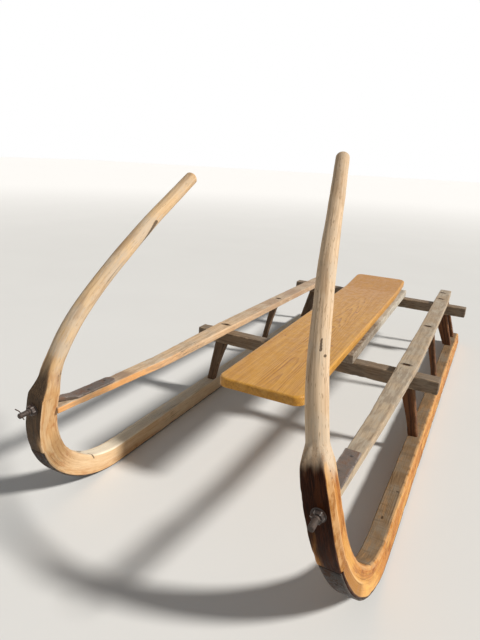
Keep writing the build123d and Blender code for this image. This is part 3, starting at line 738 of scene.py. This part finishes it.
class Finish:
    """The node tree of a material or of the sky, and the ways to fill it."""

    def __init__(self, owner):
        self.owner = owner
        owner.use_nodes = True
        self.tree = owner.node_tree
        self.tree.nodes.clear()

    def node(self, kind, settings=None, inputs=None, out=0):
        """One node: its settings first, then the values or links of its sockets."""
        made = self.tree.nodes.new(kind)
        for key, value in (settings or {}).items():
            setattr(made, key, value)
        for key, value in (inputs or {}).items():
            if isinstance(value, Flow):
                self.tree.links.new(value.socket, made.inputs[key])
            elif isinstance(value, tuple) and len(value) == 3 and len(made.inputs[key].default_value) == 4:
                made.inputs[key].default_value = value + (1.0,)
            else:
                made.inputs[key].default_value = value
        return Flow(self, made.outputs[out]) if made.outputs else None

    def attribute(self, name, out="Vector"):
        return self.node("ShaderNodeAttribute", {"attribute_name": name}, out=out)

    def object_places(self):
        return self.node("ShaderNodeTexCoord", out="Object")

    def split(self, vector):
        """The three numbers of a vector."""
        parts = self.node("ShaderNodeSeparateXYZ", inputs={0: vector}).socket.node
        return [Flow(self, parts.outputs[k]) for k in range(3)]

    def scaled(self, vector, factors, offset=(0.0, 0.0, 0.0)):
        return self.node("ShaderNodeVectorMath", {"operation": "MULTIPLY_ADD"}, {0: vector, 1: factors, 2: offset})

    def length(self, vector):
        return self.node("ShaderNodeVectorMath", {"operation": "LENGTH"}, {0: vector}, "Value")

    def noise(self, vector, scale=1.0, detail=2.0, roughness=0.5):
        return self.node("ShaderNodeTexNoise", None, {"Vector": vector, "Scale": scale, "Detail": detail,
                                                      "Roughness": roughness})

    def fibres(self, grain, across, along, offset, detail=2.0, roughness=0.5):
        """Noise drawn out along the grain: its counts per metre across and along."""
        return self.noise(self.scaled(grain, (across, across, along), offset), 1.0, detail, roughness)

    def mix(self, factor, first, second):
        return self.node("ShaderNodeMix", {"data_type": "RGBA"}, {0: factor, 6: first, 7: second}, 2)

    def coats(self, colour, *coats):
        """Colours laid over a colour one after the other, each with its share."""
        for share, tone in coats:
            colour = self.mix(share, colour, tone)
        return colour

    def close(self, colour, roughness, height, depth, **constants):
        """Principled shader with a bump, and the material's output."""
        bump = self.node("ShaderNodeBump", None, {"Strength": 1.0, "Distance": depth, "Height": height})
        inputs = {"Base Color": colour, "Roughness": roughness, "Normal": bump}
        inputs.update({key.replace("_", " "): value for key, value in constants.items()})
        self.node("ShaderNodeOutputMaterial", None, {0: self.node("ShaderNodeBsdfPrincipled", None, inputs)})
        return self.owner


def timber(f, grain, pale, dark, ring, pith, wander, taper, late, fibre, seed):
    """Wood in the plank's own directions: rings round a wandering pith, pale early wood that darkens
    to a sharp late line, long fibres and slow blotches. Returns colour, height and fibres."""
    x, y, z = f.split(grain)
    slow = f.fibres(grain, 6.0, 1.3, (seed, 0.0, 0.0))
    drift = f.fibres(grain, 9.0, 2.1, (0.0, seed, 3.0))
    fine = f.fibres(grain, 60.0, 6.0, (0.0, 0.0, seed))
    dx = x - pith[0] + (slow - 0.5) * wander
    dy = y - pith[1] + (drift - 0.5) * wander + z * taper
    reach = (dx * dx + dy * dy) ** 0.5 + (fine - 0.5) * (ring * 0.5)
    turn = (reach / ring).fraction()
    line = turn ** 2.5 * (1.0 - turn.rise(0.90, 1.0))
    threads = f.fibres(grain, 900.0, 14.0, (seed, seed, 0.0), 3.0, 0.65).rise(0.25, 0.75)
    streak = f.fibres(grain, 150.0, 3.0, (0.0, seed, seed), 2.0, 0.6).rise(0.27, 0.73)
    share = line * late * (0.35 + streak * 1.3) + (threads - 0.5) * fibre + (streak - 0.5) * fibre
    height = (threads - 0.5) * 0.55 - line * 0.3 + (streak - 0.5) * 0.6
    return f.mix(share.rise(-0.35, 0.85), pale, dark), height, threads


def weathered(f, colour, grey, amount, threads, blotch):
    """Sun-greyed wood: grey lies between the fibres and in blotches."""
    return f.mix((amount + (blotch - 0.5) * 1.1 + (threads - 0.5) * 0.8).rise(0.25, 0.85), colour, grey)


def cracks(f, grain, amount, seed):
    """Drying checks: thin dark slits, long with the grain, where stretched noise crosses a level."""
    field = f.fibres(grain, 110.0, 2.2, (seed, 2.0, seed), 1.0)
    where = f.fibres(grain, 17.0, 4.5, (4.0, seed, 1.0), 1.0)
    return (1.0 - (field - 0.5).size().rise(0.003, 0.014)) * where.rise(1.0 - amount, 1.1 - amount)


def spots(f, where, marks):
    """1 within soft ellipsoids given as centre and half sizes, 0 outside."""
    total = 0.0
    for centre, sizes in marks:
        factors = tuple(1 / size for size in sizes)
        offset = tuple(-c / size for c, size in zip(centre, sizes))
        total = (1.0 - f.length(f.scaled(where, factors, offset)).rise(0.55, 1.0)) + total
    return total.rise(0.0, 1.0)


def scratch(start, end, first, last, count):
    """Marks in a row from start to end, whose half sizes run from first to last."""
    return tuple(zip(linspace(start, end, count).tolist(), linspace(first, last, count).tolist()))


# marks of use, in the sled's own places: centre, half sizes
MARKS = {
    "left": scratch((0.3135, -1.0330, 0.6745), (0.3178, -1.0450, 0.6600), (0.0022, 0.009, 0.0045),
                    (0.0034, 0.009, 0.0050), 4)
    + (((0.3284, -1.0466, 0.6494), (0.0035, 0.006, 0.0035)), ((0.3899, -1.1417, 0.4690), (0.005, 0.0024, 0.0024)),
       ((0.3944, -1.1386, 0.4537), (0.004, 0.0024, 0.0024)), ((0.3010, -0.9700, 0.8200), (0.003, 0.004, 0.003)),
       ((0.440, -0.700, 0.067), (0.004, 0.009, 0.006)), ((0.455, -0.560, 0.067), (0.006, 0.004, 0.006))),
    "right": scratch((-0.2324, -0.8460, 0.8330), (-0.2475, -0.8795, 0.7882), (0.007, 0.008, 0.0075),
                     (0.0045, 0.005, 0.0065), 9)
    + scratch((-0.2475, -0.8795, 0.7882), (-0.2560, -0.9000, 0.7600), (0.0035, 0.0045, 0.006),
              (0.0025, 0.004, 0.006), 6)
    + (((-0.3350, -1.0900, 0.5600), (0.003, 0.003, 0.003)), ((-0.3600, -1.1100, 0.4700), (0.003, 0.003, 0.003)),
       ((-0.4640, -0.9550, 0.1080), (0.016, 0.018, 0.012)), ((-0.4460, -0.9680, 0.1170), (0.012, 0.007, 0.007)))
    + scratch((-0.4330, -0.9420, 0.0985), (-0.4215, -0.9370, 0.0950), (0.004, 0.0030, 0.0030),
              (0.004, 0.0030, 0.0034), 5)
    + scratch((-0.4205, -0.9360, 0.0930), (-0.4195, -0.9302, 0.0801), (0.004, 0.0026, 0.0034),
              (0.004, 0.0024, 0.0030), 5),
}
# painted shade round the tenons in the rails' tops: dark patches that make the slots' recesses read wider
SLOT_SHADE = {
    side: tuple(((sign * float(slot_middle(at)), at, float(deck_z(at, RAIL_HEIGHT))),
                 (0.030 if place == "front" else 0.026, 0.016, 0.020)) for place, (at, *_) in STATIONS.items())
    for side, sign in SIDES.items()
}


def crook_finish(side):
    """Grown crook: pale worn horn; varnished cheek, bend and sides, nearly black in front; planed,
    weathered bed. On the right-hand crook the varnish has worn off the bend, the bed is bleached, and
    its sides further back are paler still as painted sunlight."""
    f = Finish(bpy.data.materials.new(f"crook_wood_{side}"))
    left = side == "left"
    grain, wear = f.attribute("grain"), f.attribute("wear", "Fac")
    u, v, w = f.split(f.attribute("place"))
    spot = f.object_places()
    blotch, patch = (f.noise(spot, scale, 3.0, 0.6).rise(0.24, 0.76) for scale in (11.0, 34.0))
    tint = f.fibres(grain, 42.0, 8.0, (2.0, 5.0, 1.0), 3.0, 0.6).rise(0.26, 0.74)
    if left:
        pale, dark, stain, gold = (0.53, 0.225, 0.046), (0.28, 0.085, 0.014), (0.20, 0.058, 0.012), (0.68, 0.370, 0.095)
    else:
        pale, dark, stain, gold = (0.60, 0.365, 0.165), (0.40, 0.170, 0.055), (0.40, 0.160, 0.050), (0.68, 0.480, 0.270)
    colour, height, threads = timber(f, grain, pale, dark, 0.0047, (0.006, -0.020), 0.05, 0.0, 0.42, 0.42, 2.0)
    colour = f.coats(colour, ((patch * 0.5 + blotch * 0.6).rise(0.55, 0.90) * 0.70, stain),
                     (tint.rise(0.50, 0.85) * 0.60, gold))
    # u * u bows the kerf's line back towards the edges
    mark_line = w + u * u * 0.075
    bed_top = (-v + (tint - 0.5) * 0.03).rise(0.88, 0.95)
    if left:
        # redder wood in the hollow of the bend, then a lighter gold band on the upper bend, partly the wood's own gold
        # and partly a painted highlight of sun glare
        hollow = (-v).rise(0.80, 0.97) * w.rise(-0.42, -0.30) * (1.0 - w.rise(-0.12, 0.02))
        gold_band_and_glare = w.rise(-0.52, -0.42) * (1.0 - w.rise(-0.24, -0.12)) * v.rise(-0.6, 0.5)
        # painted shade and highlight on the bevel: its flat is painted darker than the side as shade, and the ridge
        # between the two is a painted highlight
        cheek = u.rise(0.60, 0.80) * w.rise(-0.34, -0.30) * (1.0 - w.rise(0.00, 0.08))
        ridge = (1.0 - (v - 0.14).size().rise(0.02, 0.09)) * cheek
        colour = f.coats(colour, (hollow * 0.50, (0.50, 0.185, 0.075)),
                         (gold_band_and_glare * (0.35 + patch * 0.5), (0.78, 0.440, 0.130)),
                         (cheek * v.rise(0.12, 0.20) * 0.70, (0.230, 0.088, 0.015)),
                         (ridge * (0.35 + patch * 0.4), (0.78, 0.480, 0.220)))
        front = f.mix(threads.rise(0.35, 0.7), (0.016, 0.004, 0.001), (0.048, 0.012, 0.003))
        front = f.mix(tint.rise(0.55, 0.95) * 0.4, front, (0.105, 0.028, 0.006))
        # planed bed behind the kerf, with saw marks across it
        behind = 1.0 - mark_line.rise(-0.3575, -0.3545)
        bed = f.mix(threads.rise(0.2, 0.8), (0.245, 0.158, 0.086), (0.150, 0.092, 0.049))
        bed = weathered(f, bed, (0.215, 0.165, 0.115), 0.46, threads, blotch)
        across = f.fibres(grain, 12.0, 90.0, (1.0, 1.0, 1.0))
        bed = f.coats(bed, (tint.rise(0.60, 0.90) * 0.5, (0.32, 0.175, 0.075)),
                      (across.rise(0.54, 0.70) * 0.45, (0.12, 0.078, 0.047)))
        horn_tones, flecked, drip = ((0.72, 0.545, 0.370), (0.48, 0.320, 0.190)), 0.60, 0.030
    else:
        bleach = w.rise(-0.92, -0.50) * (1.0 - w.rise(-0.38, -0.22))
        lower = 1.0 - (v + (tint - 0.5) * 0.9).rise(-0.1, 0.75) * 0.75
        # paler runner sides further back: partly bleached wood, and lightened beyond it as painted sunlight over the
        # shadow that the seat casts there
        bleached_and_painted_sun = 1.0 - w.rise(-0.95, -0.60)
        colour = f.coats(colour, (bleach * lower * 0.80, f.mix(threads, (0.78, 0.600, 0.390), (0.64, 0.430, 0.235))),
                         (bleached_and_painted_sun * (0.55 + blotch * 0.35), f.mix(threads, (0.80, 0.680, 0.490), (0.62, 0.490, 0.325))))
        front = f.mix(threads.rise(0.35, 0.7), (0.050, 0.030, 0.017), (0.120, 0.074, 0.040))
        behind = 1.0 - mark_line.rise(-0.40, -0.30)
        bed = f.mix(threads.rise(0.3, 0.7), (0.72, 0.620, 0.480), (0.56, 0.460, 0.335))
        bed = f.mix(w.rise(-0.90, -0.52), bed, f.mix(threads, (0.86, 0.765, 0.615), (0.74, 0.610, 0.440)))
        bed = weathered(f, bed, (0.64, 0.575, 0.480), 0.36 - w.rise(-0.80, -0.45) * 0.30, threads, blotch)
        horn_tones, flecked, drip = ((0.74, 0.530, 0.310), (0.52, 0.315, 0.155)), 0.32, 0.035
    # dark varnish on the front face
    face = (v + (tint - 0.5) * 0.10).rise(0.88, 0.97)
    colour = f.coats(colour, (face, front), (bed_top * behind, bed))
    if left:
        kerf = (1.0 - (mark_line + 0.3560).size().rise(0.0013, 0.0036)) * bed_top * u.rise(-0.80, -0.10)
        colour = f.mix(kerf, colour, (0.020, 0.011, 0.007))
    horn_grain, horn_height, _ = timber(f, grain, *horn_tones, 0.0034, (0.006, -0.004), 0.025, 0.0, 0.40, 0.55, 5.0)
    flecks = f.fibres(grain, 330.0, 60.0, (7.0, 1.0, 2.0), 1.0)
    horn = f.coats(weathered(f, horn_grain, (0.60, 0.475, 0.345), 0.36, threads, blotch),
                   (tint.rise(0.55, 0.90) * 0.45, (0.40, 0.250, 0.140)),
                   (flecks.rise(0.63, 0.72) * flecked, (0.22, 0.125, 0.065)),
                   (w.rise(0.60, 0.80) * (0.20 + patch * 0.35), (0.50, 0.360, 0.230)))
    level = w + (blotch - 0.5) * 0.025 + (tint - 0.5) * 0.03 - v.rise(0.5, 0.98) * drip
    on_horn = level.rise(0.028, 0.082) if left else level.rise(0.000, 0.120)
    # wear along the edges, drying checks, scars
    quiet = (1.0 - u.rise(-0.2, 0.2)) * (1.0 - w.rise(-0.40, -0.30)) * 0.85
    worn = wear.rise(0.35, 0.90) * (patch + (threads - 0.5) * 0.5).rise(0.10, 0.70) * (1.0 - face) * (1.0 - quiet)
    slits = cracks(f, grain, 0.40, 3.0)
    scars = spots(f, spot, MARKS[side])
    colour = f.coats(colour, (on_horn, horn), (worn * 0.55, (0.66, 0.400, 0.185) if left else (0.74, 0.540, 0.330)),
                     (slits * 0.7, (0.070, 0.038, 0.020)), (scars * 0.8, (0.050, 0.028, 0.016)))
    varnished = (1.0 - on_horn) * (1.0 - bed_top * behind)
    roughness = 0.70 - varnished * (0.30 if left else 0.12) + (patch - 0.5) * 0.2 + (threads - 0.5) * 0.15
    relief = height + horn_height * on_horn - slits * 3.0 - scars * 2.5
    return f.close(colour, roughness, relief, 0.0006, Specular_IOR_Level=0.06 if left else 0.15)


def plank_finish(name, pale, dark, grey, greyness, roughness, seed, ring=0.004, pith=(0.012, -0.06), taper=0.0,
                 late=0.6, fibre=0.4, checks=0.38, depth=0.0006, worn_colour=(0.50, 0.36, 0.23), worn_share=0.45,
                 side_colour=None, side_fade=None, front_colour=None, rear_colour=None, knots=(), stains_and_shade=(),
                 stain_and_shade_colour=None, **constants):
    """Sawn wood with its own greyness, worn edges, checks and, on sides or ends, another tone."""
    f = Finish(bpy.data.materials.new(name))
    grain, wear = f.attribute("grain"), f.attribute("wear", "Fac")
    u, v, w = f.split(f.attribute("place"))
    spot = f.object_places()
    blotch, patch = (f.noise(spot, scale, 3.0, 0.6).rise(0.26, 0.74) for scale in (8.0, 38.0))
    colour, height, threads = timber(f, grain, pale, dark, ring, pith, 0.016, taper, late, fibre, seed)
    if front_colour:
        share = 1.0 - (w + (blotch - 0.5) * 0.12).rise(*front_colour[0])
        colour = f.mix(share * 0.85, colour, front_colour[1])
    if rear_colour:
        colour = f.mix((w + (blotch - 0.5) * 0.12).rise(*rear_colour[0]) * 0.85, colour, rear_colour[1])
    colour = weathered(f, colour, grey, greyness, threads, blotch)
    if side_colour:
        side = u.size().rise(0.88, 0.99) * (1.0 - v.size().rise(0.80, 0.98))
        side = side * (0.45 + threads * 0.6) * (1.0 - w.rise(*side_fade) * 0.85)
        colour = f.mix(side, colour, side_colour)
    smear = f.fibres(grain, 75.0, 13.0, (seed, 1.0, seed), 3.0, 0.65).rise(0.26, 0.74)
    dirt = (smear * 0.7 + blotch * 0.4).rise(0.45, 0.90)
    colour = f.mix(dirt * (0.55 if greyness > 0.1 else 0.15), colour, tuple(c * 0.8 for c in dark))
    if knots:
        x, _, z = f.split(grain)
    for (kx, kz), size in knots:
        far = ((x - kx) * (x - kx) + (z - kz) * (z - kz) * 0.35) ** 0.5 / size + (patch - 0.5) * 0.5
        colour = f.coats(colour, ((1.0 - far.rise(0.8, 2.4)) * 0.45, (0.44, 0.165, 0.035)),
                         (1.0 - far.rise(0.35, 0.75), (0.13, 0.048, 0.016)))
    # stains: real ones, such as the under-board's darker front, and painted shade round the rails' slots
    if stains_and_shade:
        stain_and_shade_colour = stain_and_shade_colour or tuple(c * 0.35 for c in dark)
        colour = f.mix(spots(f, spot, stains_and_shade) * (0.40 + patch * 0.6), colour, stain_and_shade_colour)
    worn = wear.rise(0.4, 0.95) * (patch + (threads - 0.5) * 0.5).rise(0.38, 0.80)
    slits = cracks(f, grain, checks, seed)
    # the last coat is painted shade: near black on the walls and floors of sunk slots, whose wear is -1
    colour = f.coats(colour, (worn * worn_share, worn_colour), (slits * 0.7, (0.055, 0.035, 0.022)),
                     (1.0 - wear.rise(-0.9, -0.1), (0.030, 0.017, 0.010)))
    roughness = roughness + (patch - 0.5) * 0.2 + (threads - 0.5) * 0.15
    return f.close(colour, roughness, height - slits * 3.0, depth, **constants)


def iron_finish(name, ground, rust, bright, shine, seed, rub, dark_front=0.0, gloss=0.5):
    """Old iron: scale and rust in patches, pitted, rubbed bright along its edges; its part ahead of
    the cheeks may be darker."""
    f = Finish(bpy.data.materials.new(name))
    places = f.object_places()
    spot = f.scaled(places, (1.0, 1.0, 1.0), (seed, 0.0, seed))
    cloud, speck, pits = (f.noise(spot, *look) for look in ((45.0, 4.0, 0.6), (320.0, 3.0, 0.6), (700.0, 2.0, 0.5)))
    rusty = (cloud * 0.7 + speck * 0.5).rise(0.54, 0.74)
    rubbed = f.attribute("wear", "Fac").rise(0.45, 0.95) * (cloud + (speck - 0.5) * 0.5).rise(0.36, 0.6)
    colour = f.coats(f.mix(cloud.rise(0.35, 0.65), ground, tuple(c * 1.5 for c in ground)), (rusty, rust),
                     ((1.0 - speck.rise(0.30, 0.45)) * 0.6, (0.030, 0.020, 0.016)), (rubbed * rub, bright),
                     ((1.0 - f.split(places)[1].rise(-1.180, -1.168)) * dark_front, (0.030, 0.023, 0.020)))
    roughness = 0.46 + rusty * 0.34 + (speck - 0.5) * 0.25 - rubbed * 0.12
    return f.close(colour, roughness, speck * 0.6 + cloud * 0.5 - pits.rise(0.55, 0.75) * 0.5, 0.0006,
                   Metallic=shine * (1.0 - rusty * 0.75), Specular_IOR_Level=gloss)


# The pieces

crook_looks = {side: crook_finish(side) for side in SIDES}
rail_looks = {
    "left": plank_finish(
        "rail_wood_left", (0.48, 0.370, 0.250), (0.25, 0.175, 0.110), (0.41, 0.345, 0.265), 0.48, 0.72, 3.0, late=0.45,
        front_colour=((-1.02, -0.80), (0.44, 0.345, 0.225)), rear_colour=((-0.3, 0.7), (0.33, 0.245, 0.165)),
        stains_and_shade=SLOT_SHADE["left"], Specular_IOR_Level=0.3),
    "right": plank_finish(
        "rail_wood_right", (0.66, 0.480, 0.305), (0.42, 0.265, 0.150), (0.56, 0.450, 0.325), 0.36, 0.66, 7.0, late=0.45,
        side_colour=(0.72, 0.330, 0.090), side_fade=(-0.85, -0.35),
        front_colour=((-0.86, -0.78), (0.25, 0.165, 0.110)), rear_colour=((-0.25, 0.35), (0.33, 0.225, 0.155)),
        stains_and_shade=SLOT_SHADE["right"], Specular_IOR_Level=0.3),
}
beam_look = plank_finish(
    "beam_wood", (0.23, 0.160, 0.100), (0.10, 0.064, 0.038), (0.21, 0.165, 0.120), 0.46, 0.74, 11.0,
    ring=0.0055, pith=(0.03, -0.03), late=0.5, Specular_IOR_Level=0.3)
post_looks = {
    "left": plank_finish(
        "post_wood_left", (0.165, 0.066, 0.026), (0.052, 0.020, 0.009), (0.12, 0.066, 0.038), 0.25, 0.60, 13.0,
        worn_colour=(0.32, 0.16, 0.075), Specular_IOR_Level=0.15),
    "right": plank_finish(
        "post_wood_right", (0.165, 0.098, 0.054), (0.066, 0.038, 0.022), (0.150, 0.108, 0.074), 0.45, 0.66, 15.0,
        worn_colour=(0.28, 0.18, 0.105), Specular_IOR_Level=0.15),
}
under_look = plank_finish(
    "under_wood", (0.46, 0.405, 0.320), (0.31, 0.255, 0.190), (0.48, 0.445, 0.385), 0.66, 0.80, 17.0,
    ring=0.006, late=0.4, worn_colour=(0.60, 0.54, 0.44), stains_and_shade=(((0.20, -0.05, 0.325), (0.12, 0.40, 0.10)),),
    stain_and_shade_colour=(0.090, 0.050, 0.025), Specular_IOR_Level=0.2)
seat_look = plank_finish(
    "seat_wood", (0.600, 0.310, 0.050), (0.290, 0.105, 0.014), (0.52, 0.250, 0.040), 0.05, 0.42, 19.0,
    ring=0.0034, pith=(0.018, -0.062), taper=0.022, late=0.55, fibre=0.24, checks=0.0, depth=0.00022,
    worn_colour=(0.68, 0.40, 0.13), worn_share=0.25, rear_colour=((0.35, 1.00), (0.42, 0.190, 0.034)),
    knots=(((0.083, -0.080), 0.0052), ((-0.104, -0.070), 0.0042), ((0.050, 0.420), 0.0050)),
    Coat_Weight=0.06, Coat_Roughness=0.25, Specular_IOR_Level=0.22)
strap_look = iron_finish("bolt_iron", (0.112, 0.084, 0.066), (0.150, 0.080, 0.050), (0.28, 0.25, 0.23), 0.45, 1.0, 0.7,
                         dark_front=0.75)
nut_look = iron_finish("nut_iron", (0.060, 0.050, 0.046), (0.080, 0.044, 0.030), (0.50, 0.46, 0.43), 0.50, 3.0, 0.75,
                       gloss=0.3)
shoe_look = iron_finish("shoe_iron", (0.026, 0.021, 0.019), (0.062, 0.030, 0.017), (0.15, 0.135, 0.12), 0.15, 5.0, 0.45,
                        gloss=0.12)

for number, (side, sign) in enumerate(SIDES.items()):
    piece(f"grown_crook_{side}", [grown_crook(side, 10 + number)], [f"crook_{side}"], crook_looks[side],
          sign)
    piece(f"iron_shoe_{side}", [iron_shoe(side, 30 + number)] + shoe_nails(side), [f"shoe_{side}"],
          shoe_look, sign)
    piece(f"side_rail_{side}", [side_rail(side, 40 + number)], [f"rail_{side}"], rail_looks[side], sign)
    for order, station in enumerate(STATIONS):
        piece(f"deck_post_{station}_{side}", post_shells(station, 50 + 7 * order + number),
              [f"post_{station}_{side}"], post_looks[side], sign)
    piece(f"forged_drawbolt_{side}", [drawbolt(side, 80 + number)], [f"drawbolt_{side}"], strap_look, sign)
    piece(f"strap_nails_{side}", strap_nails(side), [], nut_look, sign)
    piece(f"round_washer_{side}", [washer(side)], [f"washer_{side}"], nut_look, sign)
    piece(f"hex_nut_{side}", [hex_nut(side, 90 + number)], [f"nut_{side}"], nut_look, sign, 25.0)
piece("bent_pin_right", [split_pin("right")], [], nut_look, -1)
for number, station in enumerate(BEAMS):
    piece(f"cross_beam_{station}", [crossbeam(station, 100 + number)], [f"crossbeam_{station}"],
          beam_look)
piece("old_under_board", [board(**UNDER_BOARD)], ["under_board"], under_look)
piece("seat_plank", [board(**SEAT_BOARD)], ["seat_board"], seat_look)


# Floor, light and camera

def floor():
    """Plain pale floor: a grid of a few faces."""
    across = linspace(-FLOOR_HALF, FLOOR_HALF, 3)
    corners = points(*np.meshgrid(across, across, indexing="ij"), -FLOOR_DROP).reshape(-1, 3)
    index = np.arange(9).reshape(3, 3)
    faces = points(index[:-1, :-1], index[1:, :-1], index[1:, 1:], index[:-1, 1:]).reshape(-1, 4)
    mesh = bpy.data.meshes.new("floor")
    mesh.from_pydata(corners.tolist(), [], faces.tolist())
    made = bpy.data.objects.new("floor", mesh)
    bpy.context.scene.collection.objects.link(made)
    f = Finish(bpy.data.materials.new("floor_paint"))
    spot = f.object_places()
    cloud = f.noise(spot, 1.5, 3.0)
    colour = f.coats((0.70, 0.70, 0.69), (cloud, (0.74, 0.74, 0.73)),
                     (f.length(spot).rise(3.0, 16.0), (0.98, 0.98, 0.98)))
    mesh.materials.append(f.close(colour, 0.85, cloud, 0.0001, Specular_IOR_Level=0.1))


def turned_to(right, up, back, place):
    """Matrix of a lamp or camera at a place, from its own three directions."""
    return Matrix.Translation(place) @ Matrix(points(right, up, back).tolist()).to_4x4()


def lamp(name, kind, place, aim, colour, **sizes):
    """Lamp of a kind that looks from its place at a point, with its sizes and strength."""
    data = bpy.data.lights.new(name, kind)
    data.color = colour
    for key, value in sizes.items():
        setattr(data, key, value)
    made = bpy.data.objects.new(name, data)
    ahead = unit(array(aim) - array(place))
    right = unit(np.cross(ahead, UPWARD))
    made.matrix_world = turned_to(right, np.cross(right, ahead), -ahead, place)
    bpy.context.scene.collection.objects.link(made)


def sky():
    """Even sky light; what the camera, gloss and glass see of it is white."""
    f = Finish(bpy.data.worlds.new("studio"))
    bpy.context.scene.world = f.owner
    rays = f.node("ShaderNodeLightPath").socket.node.outputs
    camera_ray, gloss, glass = (Flow(f, rays[key]) for key in ("Is Camera Ray", "Is Glossy Ray", "Is Transmission Ray"))
    seen = f.node("ShaderNodeMapRange", None, {
        "Value": camera_ray.math("MAXIMUM", camera_ray.math("MAXIMUM", camera_ray, gloss), glass),
        "To Min": SKY_STRENGTH, "To Max": 1.0})
    background = f.node("ShaderNodeBackground", None, {"Strength": seen, "Color": (1.0, 1.0, 1.0)})
    f.node("ShaderNodeOutputWorld", None, {0: background})


def camera():
    """Camera at the picture's own place, turned by yaw, pitch and roll."""
    yaw, pitch, roll = (math.radians(a) for a in CAMERA_TURNS)
    ahead = array((-math.sin(yaw) * math.cos(pitch), math.cos(yaw) * math.cos(pitch), -math.sin(pitch)))
    right = array((math.cos(yaw), math.sin(yaw), 0.0))
    up = np.cross(right, ahead)
    data = bpy.data.cameras.new("camera")
    data.sensor_fit, data.sensor_height, data.lens = "VERTICAL", SENSOR_HEIGHT, LENS
    data.clip_start = 0.02
    made = bpy.data.objects.new("camera", data)
    made.matrix_world = turned_to(right * math.cos(roll) + up * math.sin(roll),
                                  up * math.cos(roll) - right * math.sin(roll), -ahead, CAMERA_PLACE)
    bpy.context.scene.collection.objects.link(made)
    bpy.context.scene.camera = made


floor()
lamp("key", "SUN", (3.9, 0.75, 3.2), (0.0, 0.0, 0.2), (1.0, 0.965, 0.91), energy=4.25, angle=math.radians(7.0))
lamp("fill", "AREA", (-1.6, -3.4, 2.8), (0.0, 0.0, 0.3), (0.93, 0.965, 1.0), energy=7.0, size=2.8)
sky()
camera()
bpy.context.scene.view_settings.view_transform = "Standard"
